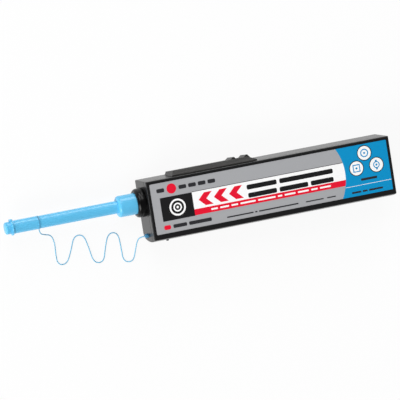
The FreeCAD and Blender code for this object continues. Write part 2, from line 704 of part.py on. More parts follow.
def nozzle_tube():
    """The thin tube that the tip runs in."""
    x0, x1 = ahead(TUBE_AHEAD), behind(CARRIAGE_DEPTH)
    tube = rod(TUBE_RADIUS, x0, x1).cut(rod(TUBE_BORE, x0 - PAST, x1 + PAST))
    mouth = [e for e in tube.Edges if e.BoundBox.XMax < x0 + NEAR]
    outer = max(mouth, key=lambda e: e.BoundBox.YLength)
    return tube.makeChamfer(TUBE_CHAMFER, [outer])


def return_spring():
    """Pushes the nozzle out again, between the carriage and the bulkhead."""
    return coil(RETURN_RADIUS, RETURN_WIRE, RETURN_COILS, behind(CARRIAGE_DEPTH),
                behind(BULKHEAD_BEHIND))


def guide_cap():
    """The blue cap over the nozzle: socket, long barrel and ferrule port."""
    rear, shoulder = ahead(GUIDE_REAR), ahead(SOCKET_AHEAD)
    step, end = ahead(GUIDE_SHOULDER), ahead(GUIDE_END)
    socket_bore = SPIGOT_RADIUS + SOCKET_BORE_GAP
    tube_bore = TUBE_RADIUS + GUIDE_TUBE_GAP
    outside = fused([
        rounded_drum(SOCKET_RADIUS, shoulder, rear, SOCKET_ROUND, SOCKET_REAR_ROUND),
        rod(GUIDE_RADIUS, step, shoulder + SOCKET_ROUND),
        rounded_drum(DUST_SEAT, end, step + MERGE, DUST_SEAT_ROUND, 0.0),
    ])
    cone_end = ahead(PORT_START - PORT_CONE)
    inside = turned([
        (rear + PAST, 0), (rear + PAST, socket_bore), (ahead(SOCKET_BORE_END), socket_bore),
        (ahead(SOCKET_BORE_END), tube_bore), (ahead(GUIDE_STEP), tube_bore),
        (ahead(GUIDE_STEP + GUIDE_STEP_CONE), GUIDE_WAIST_BORE), (cone_end, GUIDE_WAIST_BORE),
        (ahead(PORT_START), PORT_BORE), (end - PAST, PORT_BORE), (end - PAST, 0),
    ])
    return outside.cut(inside)


def rounded_drum(radius, x0, x1, front_round, rear_round):
    """A cylinder with a rounded edge at each end."""
    drum = rod(radius, x0, x1)
    for size, plane in ((front_round, x0), (rear_round, x1)):
        if size > 0:
            rim = [e for e in drum.Edges
                   if abs(e.BoundBox.XMin - plane) < NEAR and abs(e.BoundBox.XMax - plane) < NEAR]
            drum = drum.makeFillet(size, rim)
    return drum


def dust_cap():
    """The closed cap on the guide cap's end, with its pull flange and thumb nub."""
    rear, end = ahead(GUIDE_SHOULDER + DUST_GAP), ahead(DUST_END)
    flange_rear = ahead(DUST_FLANGE_AHEAD)
    flange_front = flange_rear - DUST_FLANGE_THICKNESS
    barrel = rod(DUST_RADIUS, flange_front, rear)
    nose = rounded_drum(DUST_END_RADIUS, end, flange_front + MERGE, DUST_END_ROUND, 0.0)
    flange = rod(DUST_RADIUS + DUST_FLANGE_RISE, flange_front, flange_rear)
    rims = [e for e in flange.Edges if e.BoundBox.XLength < NEAR]
    flange = flange.makeFillet(DUST_FLANGE_ROUND, rims)
    nub_top = NOZZLE_Y + DUST_RADIUS + DUST_FLANGE_RISE + DUST_NUB_RISE
    nub = box(flange_front - DUST_NUB_SPREAD, flange_rear + DUST_NUB_SPREAD, NOZZLE_Y, nub_top,
              NOZZLE_Z - DUST_NUB_WIDTH / 2, NOZZLE_Z + DUST_NUB_WIDTH / 2)
    nub = nub.makeFillet(DUST_NUB_ROUND, [e for e in nub.Edges if e.BoundBox.YMin > nub_top - NEAR])
    half = RING_WIRE + RING_ROOM
    groove = rod(DUST_RADIUS + PAST, ring_x() - half, ring_x() + half)
    groove = groove.cut(rod(DUST_RADIUS - RING_GROOVE, ring_x() - PAST, ring_x() + PAST))
    hollow = rod(DUST_SEAT + DUST_SEAT_GAP, end + DUST_END_WALL, rear + PAST)
    return fused([barrel, nose, flange, nub]).cut([groove, hollow])


def ring_x():
    """X of the tether's ring."""
    return ahead(RING_AHEAD)


def tether_ring():
    """The loop at the end of the tether, in its groove on the dust cap."""
    centre = Vector(ring_x(), NOZZLE_Y, NOZZLE_Z)
    radius = DUST_RADIUS - RING_GROOVE + FIT_GAP + RING_WIRE
    return Part.makeTorus(radius, RING_WIRE, centre, Vector(1, 0, 0))


def tether():
    """The thin tether, along its route."""
    route = [(ahead(distance), y, z) for distance, y, z in TETHER_ROUTE]
    return tube_along(route, TETHER_RADIUS, "tether")


# ---- cleaning tip ----------------------------------------------------------------------------
def shaft_flange_front():
    """X of the shaft flange's front face, resting in the carrier."""
    return behind(CARRIER_REAR - CARRIER_LENGTH + CARRIER_WALL) + REST_GAP


def tip_shaft():
    """The hollow shaft that carries the tip and both threads."""
    x0, x1 = ahead(SHAFT_AHEAD), behind(SHAFT_REAR)
    flange = shaft_flange_front()
    shaft = fused([rod(SHAFT_RADIUS, x0, x1),
                   rod(SHAFT_FLANGE_RADIUS, flange, flange + SHAFT_FLANGE_LENGTH)])
    return shaft.cut(rod(SHAFT_BORE, x0 - PAST, x1 + PAST))


def saddle_x():
    """X of the axis that the thread turns round in the tip."""
    return ahead(SHAFT_AHEAD + HEAD_LENGTH - SADDLE_INSET)


def tip_head():
    """The rounded end of the tip, slotted for the thread that passes over it."""
    x0, x1 = ahead(SHAFT_AHEAD + HEAD_LENGTH), ahead(SHAFT_AHEAD)
    head = rounded_drum(HEAD_RADIUS, x0, x1, HEAD_ROUND, 0.0)
    stem = rod(HEAD_STEM_RADIUS, x1 - MERGE, x1 + HEAD_STEM)
    inner = THREAD_SPREAD - THREAD_RADIUS - THREAD_SLOT_GAP
    half = THREAD_RADIUS + THREAD_SLOT_GAP
    wide, past = HEAD_RADIUS + PAST, half + PAST
    slot = box(x0 - PAST, x1 + HEAD_STEM + PAST, NOZZLE_Y - wide, NOZZLE_Y + wide,
               NOZZLE_Z - half, NOZZLE_Z + half)
    saddle = fused([
        box(saddle_x(), x1 + HEAD_STEM + 2 * PAST, NOZZLE_Y - inner, NOZZLE_Y + inner,
            NOZZLE_Z - past, NOZZLE_Z + past),
        post(inner, saddle_x(), NOZZLE_Y, NOZZLE_Z - past, NOZZLE_Z + past),
    ])
    return fused([head, stem]).cut(slot.cut(saddle))


def thread_loop():
    """The cleaning thread inside the shaft: out on one side, over the tip and back."""
    x0, x1 = saddle_x(), behind(SHAFT_REAR)
    spread = THREAD_SPREAD
    centre = Vector(x0, NOZZLE_Y, NOZZLE_Z)
    near, far = centre + Vector(0, spread, 0), centre - Vector(0, spread, 0)
    out = Vector(x1, near.y, NOZZLE_Z)
    home = Vector(x1, far.y, NOZZLE_Z)
    path = Part.Wire([Part.LineSegment(out, near).toShape(),
                      Part.Arc(near, centre - Vector(spread, 0, 0), far).toShape(),
                      Part.LineSegment(far, home).toShape()])
    profile = Part.Wire(Part.makeCircle(THREAD_RADIUS, out, Vector(1, 0, 0)))
    return path.makePipeShell([profile], True, False)


def tip_spring():
    """Keeps the tip pressed against the connector."""
    front = shaft_flange_front() + SHAFT_FLANGE_LENGTH
    return coil(TIP_SPRING_RADIUS, TIP_WIRE, TIP_SPRING_COILS, front,
                behind(CARRIER_REAR - CARRIER_WALL))


# ---- lever -----------------------------------------------------------------------------------
def arm_span():
    """X range of the carrier's arm at rest."""
    x1 = behind(CARRIER_REAR) - ARM_INSET
    return x1 - ARM_LENGTH, x1


def keeper_span():
    """X range of the keeper plate at rest."""
    middle = sum(arm_span()) / 2
    return middle - KEEPER_LENGTH / 2, middle + KEEPER_LENGTH / 2


def tip_carrier():
    """Holds the tip's shaft and spring, and hangs from the lever through the slot."""
    x1 = behind(CARRIER_REAR)
    x0 = x1 - CARRIER_LENGTH
    block_ = box(x0, x1, NOZZLE_Y - CARRIER_HALF_Y, NOZZLE_Y + CARRIER_HALF_Y,
                 NOZZLE_Z - CARRIER_HALF_Z, NOZZLE_Z + CARRIER_HALF_Z)
    arm_top = TOP + LEVER_GAP + POCKET_DEPTH
    a0, a1 = arm_span()
    arm = box(a0, a1, NOZZLE_Y, arm_top, NOZZLE_Z - ARM_HALF_Z, NOZZLE_Z + ARM_HALF_Z)
    k0, k1 = keeper_span()
    keeper_y = TOP - WALL - KEEPER_GAP
    keeper = box(k0, k1, keeper_y - KEEPER_THICKNESS, keeper_y,
                 NOZZLE_Z - CARRIER_HALF_Z, NOZZLE_Z + CARRIER_HALF_Z)
    chamber = rod(CARRIER_CHAMBER, x0 + CARRIER_WALL, x1 - CARRIER_WALL)
    bore = rod(SHAFT_RADIUS + SHAFT_GAP, x0 - PAST, x1 + PAST)
    return fused([block_, arm, keeper]).cut([chamber, bore])


def slide_lever():
    """The long thumb slide: steep in front, sloped at the rear, with two grip fins."""
    x0 = behind(LEVER_FRONT)
    x1 = x0 + LEVER_LENGTH
    y0 = TOP + LEVER_GAP
    high = TOP + LEVER_RISE
    low = high - LEVER_REAR_DROP
    side = prism([(x0, y0), (x0 + LEVER_SLOPE, high), (x1 - LEVER_REAR_SLOPE, high), (x1, low),
                  (x1, y0)], LEVER_Z0, LEVER_Z1)
    end = [e for e in side.Edges if e.BoundBox.XMin > x1 - NEAR and e.BoundBox.YMin > low - NEAR]
    side = side.makeFillet(LEVER_REAR_ROUND, end)
    side = side.common(lever_section(x0, x1, y0, high))
    fins = [lever_fin(x1 - inset, high) for inset in FIN_INSETS]
    a0, a1 = arm_span()
    pocket = box(a0 - FIT_GAP, a1 + FIT_GAP, y0 - PAST, y0 + POCKET_DEPTH,
                 NOZZLE_Z - ARM_HALF_Z - FIT_GAP, NOZZLE_Z + ARM_HALF_Z + FIT_GAP)
    return fused([side] + fins).cut(pocket)


def lever_section(x0, x1, y0, high):
    """The lever's cross-section run along it: a sloped side and a top that falls to the back."""
    crest = LEVER_Z1 - LEVER_CHAMFER
    return prism_along_x([(y0, LEVER_Z0), (high - LEVER_FALL, LEVER_Z0), (high, crest),
                          (y0 + LEVER_CHAMFER_FOOT, LEVER_Z1), (y0, LEVER_Z1)], x0, x1)


def prism_along_x(points, x0, x1):
    """A prism along X from (y, z) points."""
    outline = [Vector(x0, py, pz) for py, pz in points]
    return Part.Face(Part.makePolygon(outline + outline[:1])).extrude(Vector(x1 - x0, 0, 0))


def lever_fin(x, high):
    """One grip fin across the lever: two slopes, a rounded crest, and the lever's own fall."""
    run = FIN_Z1 - FIN_Z0
    fall = LEVER_FALL * run / (LEVER_Z1 - LEVER_CHAMFER - LEVER_Z0)
    foot, tip = high - LEVER_FALL - MERGE, high + FIN_RISE
    spread = (tip - foot) / FIN_RISE
    half = FIN_CREST / 2
    corners = [(x - half - FIN_FRONT_SLOPE * spread, foot), (x - half, tip), (x + half, tip),
               (x + half + FIN_REAR_SLOPE * spread, foot)]
    outline = [Vector(px, py - fall, FIN_Z0) for px, py in corners]
    fin = Part.Face(Part.makePolygon(outline + outline[:1])).extrude(Vector(0, fall, run))
    crest = [e for e in fin.Edges if e.BoundBox.YMax > tip - NEAR and e.BoundBox.ZLength > NEAR]
    return fin.makeFillet(FIN_ROUND, crest)


def detent_seat():
    """The pocket in the lever side's wall that holds the foot of the detent spring."""
    x1 = detent_rear() - DETENT_LENGTH
    wall, half = TOP - WALL, DETENT_HALF_Z + FIT_GAP
    return box(x1 - DETENT_FOOT - FIT_GAP, x1 + FIT_GAP, wall - MERGE, wall + DETENT_LEAF * 2,
               NOZZLE_Z - half, NOZZLE_Z + half)


def detent_rear():
    """X of the detent's rear end, just in front of the keeper when the tip is out."""
    return keeper_span()[0] - REACH_TRAVEL - REST_GAP


def detent_spring():
    """A leaf with a bump in front of the keeper, which holds the lever where it is set."""
    wall = TOP - WALL
    rear = detent_rear()
    start = rear - DETENT_LENGTH
    foot, ease = start - DETENT_FOOT, DETENT_EASE
    outer = wall - DETENT_LEAF - DETENT_STAND
    inner = outer - DETENT_LEAF
    peak, bump = rear - DETENT_BUMP_HALF, rear - 2 * DETENT_BUMP_HALF
    points = [
        (foot, wall + DETENT_LEAF), (foot, wall), (start - DETENT_RAMP, wall),
        (start + DETENT_RAMP, inner), (bump, inner), (peak, inner + DETENT_BUMP), (rear, inner),
        (rear, outer), (peak + ease, outer + DETENT_BUMP), (peak - ease, outer + DETENT_BUMP),
        (bump - ease, outer), (start + DETENT_RAMP + 2 * ease, outer),
        (start - DETENT_RAMP + 2 * ease, wall + DETENT_LEAF),
    ]
    return prism(points, NOZZLE_Z - DETENT_HALF_Z, NOZZLE_Z + DETENT_HALF_Z)


# ---- gears -----------------------------------------------------------------------------------
def gear_blank(teeth, phase, x, y, z0, z1):
    """A spur gear with straight-flanked teeth; phase is the angle of its first tooth."""
    pitch_radius = MODULE * teeth / 2
    root, tip = pitch_radius - DEDENDUM, pitch_radius + ADDENDUM
    half = (math.pi * MODULE / 2 - BACKLASH) / 2
    slope = math.tan(math.radians(PRESSURE_ANGLE))
    wheel = post(root, x, y, z0, z1)
    shapes = []
    foot = x + root - GEAR_ROOT
    foot_half = half + (DEDENDUM + GEAR_ROOT) * slope
    tip_half = half - ADDENDUM * slope * TIP_EASE
    for i in range(teeth):
        tooth = prism([(foot, y - foot_half), (x + tip, y - tip_half), (x + tip, y + tip_half),
                       (foot, y + foot_half)], z0, z1)
        tooth.rotate(Vector(x, y, 0), Vector(0, 0, 1), math.degrees(phase) + 360.0 * i / teeth)
        shapes.append(tooth)
    return wheel.fuse(shapes)


def pinion_phase():
    """Angle of a pinion gap centred on the rack tooth above its axle."""
    return math.pi / 2 + math.pi / PINION_TEETH


def drive_pinion():
    """The long pinion: the rack turns its upper part, its lower part turns the gear."""
    x, y = PINION_X, pinion_y()
    gear = gear_blank(PINION_TEETH, pinion_phase(), x, y, GEAR_Z0, PINION_Z1)
    return gear.cut(post(PINION_AXLE_RADIUS + RUNNING_GAP, x, y, GEAR_Z0 - PAST, PINION_Z1 + PAST))


def takeup_gear():
    """The gear under the take-up reel, with lightening holes and a square for the reel."""
    x, y = gear_x(), GEAR_Y
    line = math.atan2(y - pinion_y(), x - PINION_X)
    pinion_step = 2 * math.pi / PINION_TEETH
    gap = ((line - pinion_phase()) / pinion_step) % 1.0
    phase = line + math.pi + (0.5 + gap) * 2 * math.pi / GEAR_TEETH
    gear = gear_blank(GEAR_TEETH, phase, x, y, GEAR_Z0, GEAR_Z0 + GEAR_THICKNESS)
    half = GEAR_SQUARE / 2 + FIT_GAP
    low, high = GEAR_Z0 - PAST, GEAR_Z0 + GEAR_THICKNESS + PAST
    holes = [box(x - half, x + half, y - half, y + half, low, high)]
    for i in range(GEAR_HOLES):
        angle = 2 * math.pi * i / GEAR_HOLES
        across, up = GEAR_HOLE_CIRCLE * math.cos(angle), GEAR_HOLE_CIRCLE * math.sin(angle)
        holes.append(post(GEAR_HOLE_RADIUS, x + across, y + up, low, high))
    return gear.cut(holes)


# ---- reels -----------------------------------------------------------------------------------
def ratchet_flange(x, y, z0, radius):
    """A reel flange with saw teeth round its rim."""
    step = 2 * math.pi / RATCHET_TEETH
    points = []
    for i in range(RATCHET_TEETH):
        for turn, r in ((0.0, radius - RATCHET_DEPTH), (RATCHET_RISE, radius)):
            angle = (i + turn) * step
            points.append((x + r * math.cos(angle), y + r * math.sin(angle)))
    return prism(points, z0, z0 + FLANGE)


def reel(x, y, z0, core_z0, hub_radius):
    """A reel: hub or spacer below, plain lower flange, core and toothed upper flange."""
    shapes = [post(hub_radius, x, y, z0, core_z0), post(REEL_RADIUS, x, y, core_z0, core_z0 + FLANGE),
              post(REEL_CORE, x, y, core_z0, REEL_TOP),
              ratchet_flange(x, y, REEL_TOP - FLANGE, REEL_RADIUS)]
    return fused(shapes)


def takeup_reel():
    """The reel that winds up the used thread."""
    x, y = gear_x(), GEAR_Y
    hub_z0 = GEAR_Z0 + GEAR_THICKNESS
    half = GEAR_SQUARE / 2
    square = box(x - half, x + half, y - half, y + half, GEAR_Z0, hub_z0 + MERGE)
    whole = fused([reel(x, y, hub_z0, TAKEUP_Z0, REEL_HUB), square])
    return whole.cut(post(AXLE_RADIUS + RUNNING_GAP, x, y, GEAR_Z0 - PAST, REEL_TOP + PAST))


def supply_reel():
    """The reel that holds the fresh thread."""
    x, y = SUPPLY_X, SUPPLY_Y
    whole = reel(x, y, GEAR_Z0, SUPPLY_Z0, REEL_CORE)
    return whole.cut(post(AXLE_RADIUS + RUNNING_GAP, x, y, GEAR_Z0 - PAST, REEL_TOP + PAST))


def thread_pack(x, y, core_z0, radius):
    """The wound thread between a reel's flanges, slightly barrelled."""
    z0, z1 = core_z0 + FLANGE + PACK_GAP, REEL_TOP - FLANGE - PACK_GAP
    inner = REEL_CORE + PACK_GAP
    rim = x + radius - PACK_BARREL
    low, high = Vector(rim, y, z0), Vector(rim, y, z1)
    edges = [Part.Arc(low, Vector(x + radius, y, (z0 + z1) / 2), high).toShape(),
             Part.LineSegment(high, Vector(x + inner, y, z1)).toShape(),
             Part.LineSegment(Vector(x + inner, y, z1), Vector(x + inner, y, z0)).toShape(),
             Part.LineSegment(Vector(x + inner, y, z0), low).toShape()]
    return Part.Face(Part.Wire(edges)).revolve(Vector(x, y, 0), Vector(0, 0, 1), 360)


def takeup_thread():
    """Used thread on the take-up reel."""
    return thread_pack(gear_x(), GEAR_Y, TAKEUP_Z0, TAKEUP_PACK)


def supply_thread():
    """Fresh thread on the supply reel."""
    return thread_pack(SUPPLY_X, SUPPLY_Y, SUPPLY_Z0, SUPPLY_PACK)


def axle(name):
    """A steel axle, pressed into its seat in the back shell."""
    for label_, x, y, radius, top in axle_places():
        if label_ == name:
            pin = post(radius, x, y, GEAR_Z0 - AXLE_BOSS_GAP - AXLE_SINK, top)
            return pin.makeChamfer(AXLE_CHAMFER, [e for e in pin.Edges if e.BoundBox.ZLength < NEAR])
    raise KeyError(name)


def pawl_z():
    """Height of the pawls' lower faces."""
    return REEL_TOP - FLANGE - PAWL_DROP


def pawl(side, reel_x, reel_y):
    """A leaf pawl: an eye on its pin and a thin leaf that reaches to a reel's rim."""
    x, y, z0 = PAWL_POST_X, side * PAWL_POST_Y, pawl_z()
    z1 = z0 + PAWL_THICKNESS
    eye = post(PAWL_EYE, x, y, z0, z1)
    toward = math.copysign(1, reel_x - x)
    angle = math.radians(PAWL_ANGLE)
    rim = REEL_RADIUS + PAWL_GAP
    tip = (reel_x - toward * rim * math.cos(angle), reel_y + side * rim * math.sin(angle))
    run = math.hypot(tip[0] - x, tip[1] - y)
    ux, uy = (tip[0] - x) / run, (tip[1] - y) / run
    half = PAWL_LEAF / 2
    heel = PAWL_LEAF * PAWL_BULGE
    leaf = prism([(x - uy * half, y + ux * half), (tip[0] - uy * half, tip[1] + ux * half), tip,
                  (tip[0] - ux * PAWL_BEVEL + uy * heel, tip[1] - uy * PAWL_BEVEL - ux * heel),
                  (x + uy * half, y - ux * half)], z0, z1)
    hole = post(PAWL_PIN_RADIUS + FIT_GAP, x, y, z0 - PAST, z1 + PAST)
    return fused([eye, leaf]).cut(hole)


def click_pawl():
    """Stops the take-up reel from turning back, with a click at each tooth."""
    return pawl(-1, gear_x(), GEAR_Y)


def supply_brake():
    """Keeps the supply reel from running on."""
    return pawl(1, SUPPLY_X, SUPPLY_Y)


def feed_strand():
    """Fresh thread from the supply reel, under the take-up flange to the shaft."""
    z_pass = (GEAR_Z0 + GEAR_THICKNESS + TAKEUP_Z0) / 2
    y_pass = (PAWL_POST_Y + PAWL_POST_RADIUS + POST_SPREAD - POST_RADIUS) / 2
    end = behind(SHAFT_REAR) + STRAND_GAP
    lead = (SUPPLY_X - SUPPLY_LEAD, y_pass + LEAD_OUT)
    leave = tangent_point(SUPPLY_X, SUPPLY_Y, SUPPLY_PACK, lead, -1)
    return tube_along([
        (*leave, (SUPPLY_Z0 + REEL_TOP) / 2),
        (*lead, z_pass + LEAD_UP), (gear_x(), y_pass + FEED_OUT, z_pass),
        (PINION_X + FEED_TURN, y_pass, z_pass + FEED_UP),
        (end, NOZZLE_Y + THREAD_SPREAD, NOZZLE_Z)], THREAD_RADIUS)


def return_strand():
    """Used thread from the shaft to the lower side of the take-up pack."""
    start = (behind(SHAFT_REAR) + STRAND_GAP + THREAD_RADIUS, NOZZLE_Y - THREAD_SPREAD)
    arrive = tangent_point(gear_x(), GEAR_Y, TAKEUP_PACK, start, 1)
    climb = [a + (b - a) * RETURN_CLIMB for a, b in zip(start, arrive)]
    over_flange = TAKEUP_Z0 + FLANGE + 2 * THREAD_RADIUS + STRAND_GAP
    return tube_along([(*start, NOZZLE_Z), (*climb, over_flange),
                       (*arrive, (TAKEUP_Z0 + REEL_TOP) / 2)], THREAD_RADIUS)


def tangent_point(x, y, pack, outside, side):
    """Where a strand from a point outside a reel's pack meets it, on one side or the other."""
    around = pack + THREAD_RADIUS + STRAND_GAP
    run, rise = outside[0] - x, outside[1] - y
    turn = math.atan2(rise, run) + side * math.acos(around / math.hypot(run, rise))
    return x + around * math.cos(turn), y + around * math.sin(turn)


def nodes():
    """Each piece of the tool by name."""
    return {
        "back_shell": back_shell(), "front_cover": front_cover(), "label": label(),
        "nozzle_collar": nozzle_collar(), "tether_plug": tether_plug(), "tether": tether(),
        "slide_lever": slide_lever(), "tip_carrier": tip_carrier(),
        "detent_spring": detent_spring(), "nozzle_carriage": nozzle_carriage(),
        "nozzle_tube": nozzle_tube(), "return_spring": return_spring(),
        "tip_shaft": tip_shaft(), "tip_head": tip_head(), "thread_loop": thread_loop(),
        "tip_spring": tip_spring(), "drive_pinion": drive_pinion(),
        "takeup_gear": takeup_gear(), "takeup_reel": takeup_reel(),
        "takeup_thread": takeup_thread(), "supply_reel": supply_reel(),
        "supply_thread": supply_thread(), "pinion_axle": axle("pinion_axle"),
        "takeup_axle": axle("takeup_axle"), "supply_axle": axle("supply_axle"),
        "click_pawl": click_pawl(), "supply_brake": supply_brake(),
        "feed_strand": feed_strand(), "return_strand": return_strand(),
        "guide_cap": guide_cap(), "dust_cap": dust_cap(), "tether_ring": tether_ring(),
    }


def main():
    """Writes one STEP file for each piece."""
    os.makedirs("parts", exist_ok=True)
    for name, shape in nodes().items():
        solids = shape.Solids
        solids[0].exportStep(os.path.join("parts", name + ".step"))
        print("%-16s %8.1f mm3" % (name, solids[0].Volume))


main()
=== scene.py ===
"""Fibre connector cleaning pen: finishes, tether, printed label, working wires and studio."""
import logging
import math
from dataclasses import dataclass
from enum import Enum
from typing import Protocol, Sequence

import bmesh
import bpy
from mathutils import Euler, Matrix, Vector


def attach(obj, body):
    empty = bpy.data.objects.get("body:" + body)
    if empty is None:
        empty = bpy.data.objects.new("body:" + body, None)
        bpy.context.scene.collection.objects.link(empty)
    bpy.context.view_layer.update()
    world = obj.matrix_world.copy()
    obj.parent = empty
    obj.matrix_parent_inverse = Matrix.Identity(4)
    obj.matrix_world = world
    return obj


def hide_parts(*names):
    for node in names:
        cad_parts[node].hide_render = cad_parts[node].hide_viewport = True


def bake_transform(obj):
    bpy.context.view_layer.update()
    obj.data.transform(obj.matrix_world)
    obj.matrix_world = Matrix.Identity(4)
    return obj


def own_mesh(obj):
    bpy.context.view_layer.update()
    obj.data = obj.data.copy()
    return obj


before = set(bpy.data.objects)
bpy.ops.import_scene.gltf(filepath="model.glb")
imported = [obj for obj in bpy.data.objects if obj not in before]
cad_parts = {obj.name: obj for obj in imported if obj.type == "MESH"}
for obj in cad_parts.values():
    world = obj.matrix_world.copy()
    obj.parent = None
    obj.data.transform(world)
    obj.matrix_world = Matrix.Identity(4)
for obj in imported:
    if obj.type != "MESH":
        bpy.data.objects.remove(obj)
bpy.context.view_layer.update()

log = logging.getLogger("cleaning_pen")
Colour = tuple[float, float, float]
Point = tuple[float, float, float]
Form = bmesh.types.BMesh
Socket = bpy.types.NodeSocket
MM = 0.001
WELD = 1e-7                 # points nearer to each other than this are one
SHARP = math.radians(40)    # a bend of more than this stays a sharp edge
GRAIN = 5200.0              # cycles per metre of a mould's spark-eroded grain
GRAIN_STRENGTH = 0.5        # share of the grain's bump
PATTERN_DARK, PATTERN_LIGHT = 0.3, 0.7    # values that a pattern mostly lies between


# ---- finishes --------------------------------------------------------------------------------
class NodeBoard:
    """A material's node tree with short calls that add nodes and join them."""

    def __init__(self, name: str) -> None:
        """Starts a material with a Principled shader.

        Args:
            name: The material's name.
        """
        self.material = bpy.data.materials.new(name)
        self.material.use_nodes = True
        self.tree = self.material.node_tree
        self.shader = self.tree.nodes["Principled BSDF"]
        self.place = self.add("ShaderNodeTexCoord").outputs["Object"]

    def add(self, kind: str, **settings: object) -> bpy.types.Node:
        """Adds a node.

        Args:
            kind: The node's type.
            **settings: Values of its own properties.

        Returns:
            The new node.
        """
        node = self.tree.nodes.new(kind)
        for key, value in settings.items():
            setattr(node, key, value)
        return node

    def join(self, source: Socket, target: Socket) -> None:
        """Links two sockets."""
        self.tree.links.new(source, target)

    def fix(self, socket: str, value: float) -> None:
        """Sets one of the shader's own numbers."""
        self.shader.inputs[socket].default_value = value

    def stretched(self, scale: Point) -> Socket:
        """Object coordinates scaled differently along each axis.

        Args:
            scale: Scale along X, Y and Z.

        Returns:
            The scaled coordinates.
        """
        mapping = self.add("ShaderNodeMapping")
        mapping.inputs["Scale"].default_value = scale
        self.join(self.place, mapping.inputs["Vector"])
        return mapping.outputs["Vector"]

    def noise(self, scale: float, detail: float = 2.0, place: Socket | None = None) -> Socket:
        """Adds a noise pattern.

        Args:
            scale: Cycles per metre.
            detail: Octaves of finer noise.
            place: Coordinates to read, the object's own where none are given.

        Returns:
            The noise value.
        """
        texture = self.add("ShaderNodeTexNoise")
        texture.inputs["Scale"].default_value = scale
        texture.inputs["Detail"].default_value = detail
        self.join(place or self.place, texture.inputs["Vector"])
        return texture.outputs["Fac"]

    def streaks(self, scale: Point, detail: float) -> Socket:
        """Adds a noise pattern that is drawn out along an axis.

        Args:
            scale: Cycles per metre along X, Y and Z.
            detail: Octaves of finer noise.

        Returns:
            The noise value.
        """
        return self.noise(1.0, detail, self.stretched(scale))

    def roughen(self, pattern: Socket, at_dark: float, at_light: float) -> None:
        """Varies the surface's roughness by a pattern.

        Args:
            pattern: The pattern, from 0 to 1.
            at_dark: Roughness where the pattern is dark.
            at_light: Roughness where it is light.
        """
        node = self.add("ShaderNodeMapRange")
        node.inputs["From Min"].default_value = PATTERN_DARK
        node.inputs["From Max"].default_value = PATTERN_LIGHT
        node.inputs["To Min"].default_value = at_dark
        node.inputs["To Max"].default_value = at_light
        self.join(pattern, node.inputs["Value"])
        self.join(node.outputs["Result"], self.shader.inputs["Roughness"])

    def tint(self, pattern: Socket, colour: Colour, darkest: float, lightest: float) -> None:
        """Colours the surface by a pattern.

        Args:
            pattern: The pattern, from 0 to 1.
            colour: The surface's colour.
            darkest: Factor on the colour where the pattern is dark.
            lightest: Factor where it is light.
        """
        ramp = self.add("ShaderNodeValToRGB")
        dark, light = ramp.color_ramp.elements
        dark.position, dark.color = PATTERN_DARK, (*shade(colour, darkest), 1.0)
        light.position, light.color = PATTERN_LIGHT, (*shade(colour, lightest), 1.0)
        self.join(pattern, ramp.inputs["Fac"])
        self.join(ramp.outputs["Color"], self.shader.inputs["Base Color"])

    def bump(self, height: Socket, strength: float, depth: float) -> None:
        """Raises the surface by a pattern.

        Args:
            height: The pattern.
            strength: Share of the effect.
            depth: Depth in metres.
        """
        node = self.add("ShaderNodeBump")
        node.inputs["Strength"].default_value = strength
        node.inputs["Distance"].default_value = depth
        self.join(height, node.inputs["Height"])
        self.join(node.outputs["Normal"], self.shader.inputs["Normal"])


def shade(colour: Colour, factor: float) -> Colour:
    """A colour made darker or lighter.

    Args:
        colour: Linear red, green and blue.
        factor: What to multiply it by.

    Returns:
        The new colour.
    """
    return tuple(min(1.0, c * factor) for c in colour)


@dataclass(frozen=True)
class MouldedPlastic:
    """Injection-moulded plastic: fine spark-eroded grain and slight flow mottling."""

    name: str
    colour: Colour
    roughness: float = 0.38
    specular: float = 0.5
    grain_depth: float = 0.010 * MM
    mottling: float = 0.05
    flow: float = 90.0
    flow_detail: float = 3.0
    smoothest: float = 0.92
    roughest: float = 1.1

    def material(self) -> bpy.types.Material:
        """Builds the material.

        Returns:
            The new material.
        """
        board = NodeBoard(self.name)
        flow = board.noise(self.flow, self.flow_detail)
        board.tint(flow, self.colour, 1 - self.mottling, 1 + self.mottling)
        grain = board.noise(GRAIN)
        board.roughen(grain, self.roughness * self.smoothest, self.roughness * self.roughest)
        board.bump(grain, GRAIN_STRENGTH, self.grain_depth)
        board.fix("Specular IOR Level", self.specular)
        return board.material


@dataclass(frozen=True)
class BrushedPlastic:
    """Matt moulded plastic, rubbed lengthwise by the thumb into fine pale streaks."""

    name: str
    colour: Colour = (0.030, 0.029, 0.028)
    roughness: float = 0.5
    specular: float = 0.4
    grain_depth: float = 0.010 * MM
    streaks: Point = (90.0, 1800.0, 1800.0)
    streak_detail: float = 3.0
    darkest: float = 0.72
    lightest: float = 1.5
    rubbed: float = 0.8

    def material(self) -> bpy.types.Material:
        """Builds the material.

        Returns:
            The new material.
        """
        board = NodeBoard(self.name)
        streaks = board.streaks(self.streaks, self.streak_detail)
        board.tint(streaks, self.colour, self.darkest, self.lightest)
        board.roughen(streaks, self.roughness, self.roughness * self.rubbed)
        board.bump(board.noise(GRAIN), GRAIN_STRENGTH, self.grain_depth)
        board.fix("Specular IOR Level", self.specular)
        return board.material


@dataclass(frozen=True)
class PrintedFilm:
    """Printed label film: flat ink with a fine screen in it."""

    name: str
    colour: Colour
    roughness: float = 0.42
    specular: float = 0.22
    screen: float = 7000.0
    screen_detail: float = 1.0
    unevenness: float = 0.03
    wash: float = 240.0
    smoothest: float = 0.94
    roughest: float = 1.06

    def material(self) -> bpy.types.Material:
        """Builds the material.

        Returns:
            The new material.
        """
        board = NodeBoard(self.name)
        screen = board.noise(self.screen, self.screen_detail)
        board.tint(screen, self.colour, 1 - self.unevenness, 1 + self.unevenness)
        wash = board.noise(self.wash)
        board.roughen(wash, self.roughness * self.smoothest, self.roughness * self.roughest)
        board.fix("Specular IOR Level", self.specular)
        return board.material


